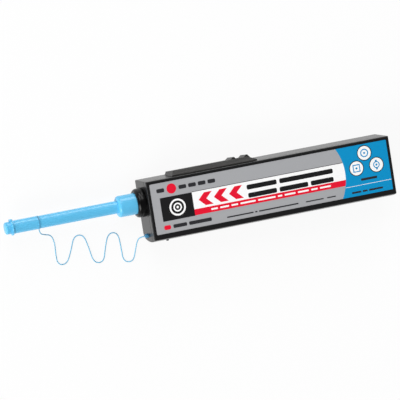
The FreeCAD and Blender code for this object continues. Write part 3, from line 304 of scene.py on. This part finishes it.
@dataclass(frozen=True)
class DrawnSteel:
    """Bright drawn steel with fine lengthwise streaks."""

    name: str
    colour: Colour = (0.58, 0.58, 0.60)
    roughness: float = 0.28
    streaks: Point = (6000.0, 6000.0, 400.0)
    streak_detail: float = 3.0
    streak_strength: float = 0.2
    streak_depth: float = 0.004 * MM
    darkest: float = 0.88
    lightest: float = 1.08
    smoothest: float = 0.8
    roughest: float = 1.25

    def material(self) -> bpy.types.Material:
        """Builds the material.

        Returns:
            The new material.
        """
        board = NodeBoard(self.name)
        streaks = board.streaks(self.streaks, self.streak_detail)
        board.tint(streaks, self.colour, self.darkest, self.lightest)
        board.roughen(streaks, self.roughness * self.smoothest, self.roughness * self.roughest)
        board.bump(streaks, self.streak_strength, self.streak_depth)
        board.fix("Metallic", 1.0)
        return board.material


@dataclass(frozen=True)
class WovenThread:
    """Fine woven cleaning thread, in turns laid side by side, with painted shade in the grooves
    between turns.
    """

    name: str
    colour: Colour = (0.86, 0.86, 0.84)
    roughness: float = 0.8
    specular: float = 0.2
    turns: float = 1400.0
    unevenness: float = 1.2
    turn_detail: float = 1.0
    turn_strength: float = 0.7
    turn_depth: float = 0.06 * MM
    # factor on the colour in the grooves between the turns: painted shade
    shade_between_turns: float = 0.72

    def material(self) -> bpy.types.Material:
        """Builds the material.

        Returns:
            The new material.
        """
        board = NodeBoard(self.name)
        wave = board.add("ShaderNodeTexWave", wave_type="BANDS", bands_direction="Z")
        wave.inputs["Scale"].default_value = self.turns
        wave.inputs["Distortion"].default_value = self.unevenness
        wave.inputs["Detail"].default_value = self.turn_detail
        board.join(board.place, wave.inputs["Vector"])
        # the bump's grooves are tinted darker: painted shade between the turns
        board.tint(wave.outputs["Fac"], self.colour, self.shade_between_turns, 1.0)
        board.bump(wave.outputs["Fac"], self.turn_strength, self.turn_depth)
        board.fix("Roughness", self.roughness)
        board.fix("Specular IOR Level", self.specular)
        return board.material


class Finish(Enum):
    """Every finish on the tool."""

    BLACK = MouldedPlastic("black_housing_plastic", (0.0060, 0.0060, 0.0065), roughness=0.30,
                           specular=0.46, grain_depth=0.005 * MM)
    LEVER = BrushedPlastic("lever_plastic")
    COLLAR = MouldedPlastic("black_collar_plastic", (0.0016, 0.0016, 0.0018), roughness=0.20,
                            specular=0.22)
    CAP_BLUE = MouldedPlastic("blue_cap_plastic", (0.110, 0.500, 0.800), roughness=0.25,
                              grain_depth=0.002 * MM, mottling=0.03)
    TETHER_BLUE = MouldedPlastic("blue_tether_plastic", (0.170, 0.500, 0.720), roughness=0.42)
    RING_BLUE = MouldedPlastic("blue_ring_plastic", (0.070, 0.290, 0.480), roughness=0.42)
    # darker blue than the tether's: painted shade of the hole in the front face that the plug
    # sits in
    SHADED_PLUG_BLUE = MouldedPlastic("blue_plug_plastic_painted_shade", (0.045, 0.230, 0.420), roughness=0.42)
    NATURAL = MouldedPlastic("natural_acetal", (0.74, 0.73, 0.68), roughness=0.45, specular=0.4,
                             grain_depth=0.003 * MM)
    WHITE_PLASTIC = MouldedPlastic("white_moulded_plastic", (0.82, 0.82, 0.81), roughness=0.42,
                                   specular=0.4, grain_depth=0.003 * MM)
    STEEL = DrawnSteel("drawn_steel")
    THREAD = WovenThread("cleaning_thread")
    SILVER_FILM = PrintedFilm("silver_label_film", (0.385, 0.39, 0.405), roughness=0.45)
    WHITE_INK = PrintedFilm("white_ink", (0.97, 0.97, 0.97))
    RED_INK = PrintedFilm("red_ink", (0.800, 0.007, 0.032))
    BLUE_INK = PrintedFilm("blue_ink", (0.002, 0.280, 0.580))
    BLACK_INK = PrintedFilm("black_ink", (0.010, 0.010, 0.011))
    GREY_INK = PrintedFilm("dark_grey_ink", (0.026, 0.026, 0.030))

    def made(self) -> bpy.types.Material:
        """The finish's material, built once."""
        found = bpy.data.materials.get(self.value.name)
        return found or self.value.material()


# ---- making pieces ---------------------------------------------------------------------------
def dress(node: str, finish: Finish) -> None:
    """Gives a CAD node its finish.

    Args:
        node: The node's name.
        finish: What it is made of.
    """
    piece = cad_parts[node]
    if not piece.material_slots:
        piece.data.materials.append(finish.made())
    for place in piece.material_slots:
        place.material = finish.made()
    log.info("%s: %s", node, finish.value.name)


def piece_from(mesh: bpy.types.Mesh, finish: Finish) -> bpy.types.Object:
    """Makes a piece from a mesh, in one finish and under the mesh's name.

    Args:
        mesh: The piece's mesh, in the row frame.
        finish: What it is made of.

    Returns:
        The new object.
    """
    mesh.materials.clear()
    mesh.materials.append(finish.made())
    piece = bpy.data.objects.new(mesh.name, mesh)
    bpy.context.collection.objects.link(piece)
    return piece


def mesh_from(name: str, form: Form) -> bpy.types.Mesh:
    """Turns a form's faces outwards and makes a mesh of it.

    Args:
        name: The mesh's name.
        form: The form, which is used up.

    Returns:
        The new mesh.
    """
    bmesh.ops.recalc_face_normals(form, faces=form.faces)
    mesh = bpy.data.meshes.new(name)
    form.to_mesh(mesh)
    form.free()
    return mesh


# ---- tether ----------------------------------------------------------------------------------
@dataclass(frozen=True)
class Stretch:
    """One stretch of the tether, with the two bodies that it joins and the pieces on it."""

    name: str
    near: str
    far: str
    on_it: tuple[str, ...] = ()


@dataclass
class Tether:
    """The thin tether from the plug in the front face to the ring on the dust cap."""

    diameter: float = 0.6 * MM
    steps_per_knot: int = 10
    roundness: int = 3
    stretches: tuple[Stretch, ...] = (
        Stretch("tether_at_plug", "housing", "nozzle", ("tether_plug",)),
        Stretch("tether_middle", "nozzle", "guide"),
        Stretch("tether_at_ring", "guide", "dust", ("tether_ring",)),
    )
    route: tuple[Point, ...] = (
        (-0.0717, -0.0139, 0.0085), (-0.0739, -0.0139, 0.0085), (-0.0756, -0.0152, 0.0066),
        (-0.0765, -0.0210, 0.0028), (-0.0780, -0.0273, 0.0004), (-0.0835, -0.0263, 0.0003),
        (-0.0835, -0.0180, 0.0003), (-0.0841, -0.0100, 0.0003), (-0.0895, -0.0095, 0.0003),
        (-0.0923, -0.0170, 0.0003), (-0.0943, -0.0245, 0.0003), (-0.0999, -0.0238, 0.0003),
        (-0.1013, -0.0150, 0.0003), (-0.1032, -0.0075, 0.0003), (-0.1086, -0.0075, 0.0003),
        (-0.1113, -0.0149, 0.0003), (-0.1147, -0.0217, 0.0003), (-0.1198, -0.0210, 0.0003),
        (-0.1200, -0.0146, 0.0003), (-0.1196, -0.0094, 0.0006), (-0.1213, -0.0043, 0.0026),
        (-0.1260, -0.0030, 0.0062), (-0.1290, -0.0017, 0.0089), (-0.1294, 0.00082, 0.0100),
    )

    @staticmethod
    def curve(name: str, kind: str, points: Sequence[Point | Vector]) -> bpy.types.Curve:
        """A curve of one open spline.

        Args:
            name: The curve's name.
            kind: The spline's type.
            points: Its control points.

        Returns:
            The new curve.
        """
        curve = bpy.data.curves.new(name, "CURVE")
        curve.dimensions = "3D"
        spline = curve.splines.new(kind)
        spline.points.add(len(points) - 1)
        for knot, place in zip(spline.points, points):
            knot.co = (*place, 1.0)
        return curve

    @staticmethod
    def drawn(curve: bpy.types.Curve) -> bpy.types.Mesh:
        """Turns a curve into a mesh and removes the curve.

        Args:
            curve: The curve.

        Returns:
            The new mesh.
        """
        holder = bpy.data.objects.new(curve.name, curve)
        mesh = bpy.data.meshes.new_from_object(holder)
        bpy.data.objects.remove(holder)
        bpy.data.curves.remove(curve)
        return mesh

    def line(self) -> list[Vector]:
        """Points along the route's smooth spline.

        Returns:
            The points, from the plug to the ring.
        """
        curve = self.curve("tether_line", "NURBS", self.route)
        curve.resolution_u = self.steps_per_knot
        curve.splines[0].order_u = 3
        curve.splines[0].use_endpoint_u = True
        mesh = self.drawn(curve)
        points = [v.co.copy() for v in mesh.vertices]
        bpy.data.meshes.remove(mesh)
        return points

    def tube(self, name: str, points: Sequence[Vector]) -> bpy.types.Object:
        """A round tube along points.

        Args:
            name: The piece's name.
            points: What its middle follows.

        Returns:
            The tube as a mesh object.
        """
        curve = self.curve("tube_line", "POLY", points)
        curve.bevel_depth = self.diameter / 2
        curve.bevel_resolution = self.roundness
        curve.use_fill_caps = True
        mesh = self.drawn(curve)
        mesh.name = name
        mesh.shade_smooth()
        return piece_from(mesh, Finish.TETHER_BLUE)

    def cuts(self, steps: Sequence[float]) -> list[int]:
        """Where the line is cut into stretches of nearly the same length.

        Args:
            steps: Length from each point of the line to the next.

        Returns:
            The number of each stretch's first point, and of the line's last point.
        """
        total, run, found, wanted = sum(steps), 0.0, [0], len(self.stretches)
        for i, step in enumerate(steps, 1):
            run += step
            if len(found) < wanted and run >= total * len(found) / wanted:
                found.append(i)
        return [*found, len(steps)]

    def build(self) -> None:
        """Makes the stretches as tubes along the route, hides the CAD tether and dresses its
        plug and ring.
        """
        points = self.line()
        steps = [(b - a).length for a, b in zip(points, points[1:])]
        cuts = self.cuts(steps)
        for stretch, first, last in zip(self.stretches, cuts, cuts[1:]):
            part = points[first:last + 1]
            piece = self.tube(stretch.name, part)
            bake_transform(piece)
            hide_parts("tether")
        # the plug gets the darker blue that paints the shade of its hole
        dress("tether_plug", Finish.SHADED_PLUG_BLUE)
        dress("tether_ring", Finish.RING_BLUE)


# ---- studio ----------------------------------------------------------------------------------
@dataclass(frozen=True)
class Softbox:
    """A square area light aimed at the tool."""

    name: str
    place: Point
    size: float
    power: float

    def build(self) -> None:
        """Hangs the light."""
        data = bpy.data.lights.new(self.name, "AREA")
        data.shape, data.size, data.energy = "SQUARE", self.size, self.power
        lamp = bpy.data.objects.new(self.name, data)
        lamp.location = self.place
        lamp.rotation_mode = "QUATERNION"
        lamp.rotation_quaternion = Vector(self.place).to_track_quat("Z", "Y")
        bpy.context.collection.objects.link(lamp)


@dataclass
class Studio:
    """Camera, soft lights and a pale floor, in metres, with the camera's turn in degrees."""

    camera_place: Point = (-0.62469, 0.23415, 1.92969)
    camera_turn: Point = (-3.855, -17.806, -9.358)
    lens: float = 337.5
    sensor: float = 36.0
    nearest: float = 0.05
    farthest: float = 50.0
    floor_half: float = 6.0
    floor_drop: float = 0.1 * MM
    floor_grey: float = 0.90
    floor_roughness: float = 0.9
    floor_glow: float = 0.9
    horizon: float = 0.5
    overhead: float = 0.15
    softboxes: tuple[Softbox, ...] = (
        Softbox("key_softbox", (-0.6, 1.6, 1.5), 1.6, 26.0),
        Softbox("fill_softbox", (-1.8, -1.2, 1.2), 1.6, 54.0),
        Softbox("low_softbox", (0.65, 2.0, 0.55), 0.85, 13.0),
    )

    def camera(self) -> None:
        """Sets up the camera."""
        data = bpy.data.cameras.new("camera")
        data.sensor_width = self.sensor
        data.lens = self.lens
        data.clip_start, data.clip_end = self.nearest, self.farthest
        camera = bpy.data.objects.new("camera", data)
        camera.location = self.camera_place
        camera.rotation_euler = Euler([math.radians(a) for a in self.camera_turn], "XYZ")
        bpy.context.collection.objects.link(camera)
        bpy.context.scene.camera = camera

    def floor(self) -> None:
        """Lays the pale floor just under the tool."""
        form = bmesh.new()
        bmesh.ops.create_grid(form, x_segments=1, y_segments=1, size=self.floor_half)
        bmesh.ops.translate(form, verts=form.verts, vec=(0, 0, -self.floor_drop))
        mesh = bpy.data.meshes.new("floor")
        form.to_mesh(mesh)
        form.free()
        floor = bpy.data.objects.new("floor", mesh)
        bpy.context.collection.objects.link(floor)
        mesh.materials.append(self.paper())

    def paper(self) -> bpy.types.Material:
        """White paper that keeps a soft shadow and shows white in gloss.

        Returns:
            The floor's material.
        """
        board = NodeBoard("pale_floor")
        board.shader.inputs["Base Color"].default_value = (*[self.floor_grey] * 3, 1.0)
        board.fix("Roughness", self.floor_roughness)
        board.fix("Specular IOR Level", 0.0)
        path = board.add("ShaderNodeLightPath")
        mirrored = board.add("ShaderNodeMath", operation="MAXIMUM")
        board.join(path.outputs["Is Glossy Ray"], mirrored.inputs[0])
        board.join(path.outputs["Is Transmission Ray"], mirrored.inputs[1])
        white = board.add("ShaderNodeMath", operation="MULTIPLY_ADD", use_clamp=True)
        board.join(path.outputs["Is Camera Ray"], white.inputs[0])
        white.inputs[1].default_value = self.floor_glow
        board.join(mirrored.outputs[0], white.inputs[2])
        glow = board.add("ShaderNodeEmission")
        glow.inputs["Strength"].default_value = 1.0
        mix = board.add("ShaderNodeMixShader")
        board.join(white.outputs[0], mix.inputs["Fac"])
        board.join(board.shader.outputs["BSDF"], mix.inputs[1])
        board.join(glow.outputs["Emission"], mix.inputs[2])
        board.join(mix.outputs["Shader"], board.tree.nodes["Material Output"].inputs["Surface"])
        return board.material

    def world(self) -> None:
        """Sets a pale room that is dimmer overhead than round the horizon."""
        world = bpy.data.worlds.new("soft_room")
        world.use_nodes = True
        nodes, links = world.node_tree.nodes, world.node_tree.links
        place = nodes.new("ShaderNodeTexCoord")
        axes = nodes.new("ShaderNodeSeparateXYZ")
        level = nodes.new("ShaderNodeMapRange")
        links.new(place.outputs["Generated"], axes.inputs["Vector"])
        links.new(axes.outputs["Z"], level.inputs["Value"])
        level.inputs["To Min"].default_value = self.horizon
        level.inputs["To Max"].default_value = self.overhead
        background = nodes["Background"]
        background.inputs["Color"].default_value = (1.0, 1.0, 1.0, 1.0)
        links.new(level.outputs["Result"], background.inputs["Strength"])
        bpy.context.scene.world = world

    def build(self) -> None:
        """Builds the studio."""
        self.camera()
        self.floor()
        self.world()
        for softbox in self.softboxes:
            softbox.build()
        bpy.context.scene.view_settings.view_transform = "Standard"


# ---- label: flat shapes, with their sizes in millimetres -------------------------------------
class FlatShape(Protocol):
    """Any flat shape of the label's print."""

    def add(self, form: Form) -> None:
        """Adds the shape to a form."""


@dataclass(frozen=True)
class Plate:
    """A rectangle, with rounded corners where it has a corner radius."""

    left: float
    right: float
    lower: float
    upper: float
    corner: float = 0.0
    corner_steps: int = 5

    def add(self, form: Form) -> None:
        """Adds the rectangle to a form.

        Args:
            form: The form it is added to.
        """
        made = bmesh.ops.create_grid(form, x_segments=1, y_segments=1, size=0.5)["verts"]
        bmesh.ops.scale(form, verts=made, vec=((self.right - self.left) * MM,
                                               (self.upper - self.lower) * MM, 1))
        bmesh.ops.translate(form, verts=made, vec=((self.left + self.right) / 2 * MM,
                                                   (self.lower + self.upper) / 2 * MM, 0))
        if self.corner > 0:
            bmesh.ops.bevel(form, geom=made, offset=self.corner * MM,
                            segments=self.corner_steps, profile=0.5, affect="VERTICES",
                            material=-1)


@dataclass(frozen=True)
class BarRow:
    """A row of rounded bars that stands for words; shares are their relative lengths."""

    left: float
    right: float
    middle: float
    height: float
    shares: tuple[float, ...]
    gap: float = 0.0
    rounding: float = 0.3

    def add(self, form: Form) -> None:
        """Adds the bars to a form.

        Args:
            form: The form they are added to.
        """
        unit = (self.right - self.left - self.gap * (len(self.shares) - 1)) / sum(self.shares)
        start, half = self.left, self.height / 2
        for share in self.shares:
            end = start + share * unit
            Plate(start, end, self.middle - half, self.middle + half,
                  self.height * self.rounding).add(form)
            start = end + self.gap


@dataclass(frozen=True)
class Disc:
    """A round field."""

    x: float
    y: float
    radius: float
    sides: int = 48

    def add(self, form: Form) -> None:
        """Adds the disc to a form.

        Args:
            form: The form it is added to.
        """
        place = Matrix.Translation((self.x * MM, self.y * MM, 0))
        bmesh.ops.create_circle(form, cap_ends=True, segments=self.sides,
                                radius=self.radius * MM, matrix=place)


@dataclass(frozen=True)
class Ring:
    """A round or many-sided ring: the radii of its corners, and its turn in degrees."""

    x: float
    y: float
    outer: float
    inner: float
    sides: int = 48
    turn: float = 0.0

    def add(self, form: Form) -> None:
        """Adds the ring to a form.

        Args:
            form: The form it is added to.
        """
        turned = Matrix.Rotation(math.radians(self.turn), 4, "Z")
        place = Matrix.Translation((self.x * MM, self.y * MM, 0)) @ turned
        edges = []
        for radius in (self.outer, self.inner):
            made = bmesh.ops.create_circle(form, cap_ends=False, segments=self.sides,
                                           radius=radius * MM, matrix=place)["verts"]
            edges += list({e for v in made for e in v.link_edges})
        bmesh.ops.bridge_loops(form, edges=edges)


@dataclass(frozen=True)
class ArrowHead:
    """An arrow head that points to the nozzle, from its point at the left."""

    x: float
    y: float
    width: float = 8.0
    height: float = 7.0
    arm: float = 0.55

    def add(self, form: Form) -> None:
        """Adds the arrow head's two slanting arms to a form.

        Args:
            form: The form they are added to.
        """
        slant = self.width * (1 - self.arm) / (self.height / 2)
        for side in (1, -1):
            arm = bmesh.ops.create_grid(form, x_segments=1, y_segments=1, size=0.5)["verts"]
            bmesh.ops.scale(form, verts=arm, vec=(self.width * self.arm * MM,
                                                  self.height / 2 * MM, 1))
            bmesh.ops.translate(form, verts=arm, vec=((self.x + self.width * self.arm / 2) * MM,
                                                      side * self.height / 4 * MM, 0))
            lean = Matrix.Shear("XZ", 4, (side * slant, 0))
            place = Matrix.Translation((0, self.y * MM, 0))
            bmesh.ops.transform(form, verts=arm, matrix=place @ lean)


@dataclass(frozen=True)
class BowedField:
    """A field with an arc for its left border."""

    x: float
    y: float
    radius: float
    right: float
    lower: float
    upper: float
    steps: int = 32

    def add(self, form: Form) -> None:
        """Adds the field to a form.

        Args:
            form: The form it is added to.
        """
        centre = Vector((self.x * MM, self.y * MM, 0))
        high = math.asin((self.upper - self.y) / self.radius)
        low = math.asin((self.lower - self.y) / self.radius)
        spoke = Vector((math.cos(low), math.sin(low), 0)) * self.radius * MM
        first = form.verts.new(centre + spoke)
        bmesh.ops.spin(form, geom=[first], cent=centre, axis=(0, 0, 1), angle=high - low,
                       steps=self.steps)
        strip = bmesh.ops.extrude_edge_only(form, edges=form.edges[:])["geom"]
        far = [v for v in strip if isinstance(v, bmesh.types.BMVert)]
        bmesh.ops.scale(form, verts=far, vec=(0, 1, 1),
                        space=Matrix.Translation((-self.right * MM, 0, 0)))


@dataclass(frozen=True)
class PrintedPiece:
    """One printed piece: its place in the stack of inks from 1, its ink and its shapes."""

    name: str
    layer: int
    ink: Finish
    shapes: tuple[FlatShape, ...]

    def build(self, face: float, thickness: float) -> None:
        """Makes the piece, which stands on the label's face.

        Args:
            face: Height of the label's face.
            thickness: Thickness of one layer of ink.
        """
        form = bmesh.new()
        for shape in self.shapes:
            shape.add(form)
        bmesh.ops.remove_doubles(form, verts=form.verts, dist=WELD)
        bmesh.ops.translate(form, verts=form.verts, vec=(0, 0, face))
        found = bmesh.ops.extrude_face_region(form, geom=form.faces[:])["geom"]
        top = [v for v in found if isinstance(v, bmesh.types.BMVert)]
        bmesh.ops.translate(form, verts=top, vec=(0, 0, thickness * self.layer))
        piece = piece_from(mesh_from(self.name, form), self.ink)
        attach(piece, "housing")
        log.info("%s rides on housing: %s", self.name, self.ink.value.name)


@dataclass
class PrintedLabel:
    """The label's print: bands, a blue field, discs with plain symbols, and bars for words."""

    face: float = 19.92 * MM
    thickness: float = 0.015 * MM
    prints: tuple[PrintedPiece, ...] = (
        PrintedPiece("label_white_band", 1, Finish.WHITE_INK, (
            Plate(-45.4, 44.0, -3.35, 6.0),)),
        PrintedPiece("label_red_band", 1, Finish.RED_INK, (
            Plate(-45.4, 44.0, -6.6, -3.35),)),
        PrintedPiece("label_black_panel", 1, Finish.BLACK_INK, (
            Plate(-63.6, -45.4, -6.8, 6.0),)),
        PrintedPiece("label_black_line", 1, Finish.BLACK_INK, (
            Plate(-45.4, 41.2, 6.0, 6.3),)),
        PrintedPiece("label_pale_line", 3, Finish.WHITE_INK, (
            Plate(41.3, 68.2, -7.8, -7.58),)),
        PrintedPiece("label_blue_field", 2, Finish.BLUE_INK, (
            BowedField(14.25, 0.3, radius=28.05, right=68.2, lower=-13.3, upper=14.2),)),
        PrintedPiece("label_title_bars", 2, Finish.BLACK_INK, (
            BarRow(-14.4, 35.4, 2.9, 2.6, (5, 9), gap=1.6),
            BarRow(-14.2, 35.2, -1.6, 2.6, (5, 5, 4), gap=1.6))),
        PrintedPiece("label_red_chevrons", 2, Finish.RED_INK, (
            ArrowHead(-42.2, 1.25), ArrowHead(-33.5, 1.25), ArrowHead(-24.8, 1.25))),
        PrintedPiece("label_band_bars", 2, Finish.WHITE_INK, (
            BarRow(-36.0, 33.0, -5.0, 0.9, (3, 4, 3, 7, 8, 2, 5, 5, 3, 5), gap=1.4),)),
        PrintedPiece("label_word_bars", 3, Finish.GREY_INK, (
            BarRow(-64.8, -60.4, 10.0, 2.1, (1,)),
            BarRow(-52.2, -31.4, 10.0, 2.1, (4, 4, 4, 4), gap=1.2),
            BarRow(-58.4, -36.6, -10.2, 1.9, (3, 5), gap=1.2),
            BarRow(-27.9, 13.2, -11.0, 0.7, (12, 1, 18), gap=1.0),
            BarRow(17.6, 35.0, -11.0, 0.6, (10, 5), gap=2.0),
            BarRow(50.7, 60.1, -4.9, 1.3, (1,)),
            BarRow(44.4, 62.6, -11.2, 1.0, (4, 2, 6), gap=0.9))),
        PrintedPiece("label_red_mark", 1, Finish.RED_INK, (
            Plate(-63.6, -59.8, -11.4, -9.0, corner=0.9), Disc(-56.3, 10.1, 2.7))),
        PrintedPiece("label_disc_rims", 4, Finish.BLACK_INK, (
            Ring(54.8, 9.2, 4.25, 3.8), Ring(49.1, 1.7, 4.25, 3.8),
            Ring(60.8, 1.7, 4.25, 3.8))),
        PrintedPiece("label_discs", 3, Finish.WHITE_INK, (
            Disc(54.8, 9.2, 3.85), Disc(49.1, 1.7, 3.85), Disc(60.8, 1.7, 3.85))),
        PrintedPiece("label_disc_symbols", 4, Finish.BLUE_INK, (
            Disc(54.8, 9.2, 0.6, sides=24), Ring(54.8, 9.2, 2.3, 1.7),
            Disc(49.1, 1.7, 0.6, sides=24), Ring(49.1, 1.7, 2.97, 2.19, sides=4, turn=45),
            Disc(60.8, 1.7, 0.6, sides=24), Ring(60.8, 1.7, 1.9, 1.35),
            Plate(60.3, 61.3, 3.45, 4.35), Plate(60.3, 61.3, -0.95, -0.05))),
        PrintedPiece("label_end_face_symbol", 2, Finish.WHITE_INK, (
            Ring(-54.4, -0.4, 4.6, 3.6), Ring(-54.4, -0.4, 2.4, 1.6),
            Disc(-54.4, -0.4, 0.7, sides=24))),
    )

    def build(self) -> None:
        """Builds the whole print on the label."""
        dress("label", Finish.SILVER_FILM)
        for piece in self.prints:
            piece.build(self.face, self.thickness)


# ---- the tool's own parts --------------------------------------------------------------------
Finishes = tuple[tuple[Finish, tuple[str, ...]], ...]


@dataclass
class Assembly:
    """A sub-assembly whose pieces have the CAD's form and get their finishes here."""

    finishes: Finishes = ()

    def build(self) -> None:
        """Dresses every piece of the sub-assembly."""
        for finish, nodes in self.finishes:
            for node in nodes:
                dress(node, finish)


@dataclass
class Housing(Assembly):
    """Both halves of the housing, the collar and what is fixed inside."""

    finishes: Finishes = (
        (Finish.BLACK, ("back_shell", "front_cover")),
        (Finish.COLLAR, ("nozzle_collar",)),
        (Finish.STEEL, ("detent_spring", "return_spring", "pinion_axle", "takeup_axle",
                        "supply_axle")),
        (Finish.NATURAL, ("click_pawl", "supply_brake")),
        (Finish.THREAD, ("feed_strand", "return_strand")),
    )


@dataclass
class SlideAndTip(Assembly):
    """The thumb slide, the tip carrier and the cleaning tip."""

    finishes: Finishes = (
        (Finish.LEVER, ("slide_lever",)),
        (Finish.NATURAL, ("tip_carrier",)),
        (Finish.STEEL, ("tip_spring",)),
        (Finish.WHITE_PLASTIC, ("tip_shaft", "tip_head")),
        (Finish.THREAD, ("thread_loop",)),
    )


@dataclass
class NozzleAndCaps(Assembly):
    """The sliding nozzle, the guide cap and the dust cap."""

    finishes: Finishes = (
        (Finish.NATURAL, ("nozzle_carriage", "nozzle_tube")),
        (Finish.CAP_BLUE, ("guide_cap", "dust_cap")),
    )


@dataclass
class ReelDrive(Assembly):
    """The pinion, the gear and both reels with their thread."""

    finishes: Finishes = (
        (Finish.NATURAL, ("drive_pinion", "takeup_gear")),
        (Finish.WHITE_PLASTIC, ("takeup_reel", "supply_reel")),
        (Finish.THREAD, ("takeup_thread", "supply_thread")),
    )


# ---- springs and strands that change their length --------------------------------------------
def node_form(node: str) -> Form:
    """Copies a CAD node's form, with its loose triangles merged.

    Args:
        node: The CAD node's name.

    Returns:
        The form, in the row frame.
    """
    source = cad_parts[node]
    form = bmesh.new()
    form.from_mesh(source.data)
    bmesh.ops.transform(form, matrix=source.matrix_world, verts=form.verts)
    bmesh.ops.remove_doubles(form, verts=form.verts, dist=WELD)
    return form


def keep_side(form: Form, place: float, front: bool) -> None:
    """Cuts a form square across X, keeps one side and closes the cut.

    Args:
        form: The form to cut.
        place: Where along X it is cut.
        front: Whether the side towards the nozzle is kept.
    """
    found = bmesh.ops.bisect_plane(form, geom=form.verts[:] + form.edges[:] + form.faces[:],
                                   plane_co=(place, 0, 0), plane_no=(1, 0, 0),
                                   clear_outer=front, clear_inner=not front)
    rim = [e for e in found["geom_cut"] if isinstance(e, bmesh.types.BMEdge)]
    bmesh.ops.holes_fill(form, edges=rim, sides=0)


def stand_in(name: str, node: str, form: Form, finish: Finish) -> bpy.types.Object:
    """Makes a piece that stands for a CAD node, which it hides.

    Args:
        name: The piece's name.
        node: The CAD node that it stands for.
        form: Its shape, in the row frame.
        finish: What it is made of.

    Returns:
        The new piece.
    """
    mesh = mesh_from(name, form)
    stale = mesh.attributes.get("custom_normal")
    if stale:
        mesh.attributes.remove(stale)
    mesh.shade_smooth()
    mesh.set_sharp_from_angle(angle=SHARP)
    piece = piece_from(mesh, finish)
    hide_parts(node)
    log.info("%s stands for %s: %s", name, node, finish.value.name)
    return piece


@dataclass(frozen=True)
class Spring:
    """A wire spring that a joint shortens towards its rear seat, whose place is along X."""

    node: str
    body: str
    joint: str
    rear: float
    length: float
    travel: float

    def build(self) -> None:
        """Makes the spring and attaches it to its body."""
        wire = stand_in(self.node + "_wire", self.node, node_form(self.node), Finish.STEEL)
        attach(wire, self.body)
        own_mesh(wire)


@dataclass(frozen=True)
class Strand:
    """A strand of thread that the lever and the tip draw out, with its places along X."""

    node: str
    held: float = -12.1 * MM
    on_lever: float = -19.0 * MM
    on_tip: float = -22.9 * MM

    def build(self) -> None:
        """Makes the strand's two stretches, cut apart where the lever holds it."""
        for ending, front, near, far, start, end in (
                ("_behind", False, "housing", "lever", self.held, self.on_lever),
                ("_at_tip", True, "lever", "tip", self.on_lever, self.on_tip)):
            form = node_form(self.node)
            keep_side(form, self.on_lever, front)
            thread = stand_in(self.node + ending, self.node, form, Finish.THREAD)
            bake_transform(thread)


@dataclass
class WorkingWires:
    """The springs and the strands that change their length as the tool works."""

    springs: tuple[Spring, ...] = (
        Spring("return_spring", "housing", "nozzle_push", rear=-44.4 * MM, length=13.6 * MM,
               travel=8.0 * MM),
        Spring("tip_spring", "lever", "tip_give", rear=-26.0 * MM, length=4.7 * MM,
               travel=1.5 * MM),
    )
    strands: tuple[Strand, ...] = (
        Strand("feed_strand"),
        Strand("return_strand", on_lever=-21.0 * MM),
    )

    def build(self) -> None:
        """Makes every spring and strand."""
        for piece in (*self.springs, *self.strands):
            piece.build()


def main() -> None:
    """Builds the studio and every part of the tool."""
    logging.basicConfig(level=logging.INFO, format="%(name)s: %(message)s")
    parts = (Studio(), Tether(), Housing(), PrintedLabel(), SlideAndTip(), NozzleAndCaps(),
             ReelDrive(), WorkingWires())
    for part in parts:
        part.build()
        log.info("%s done", type(part).__name__)


if __name__ == "__main__":
    main()
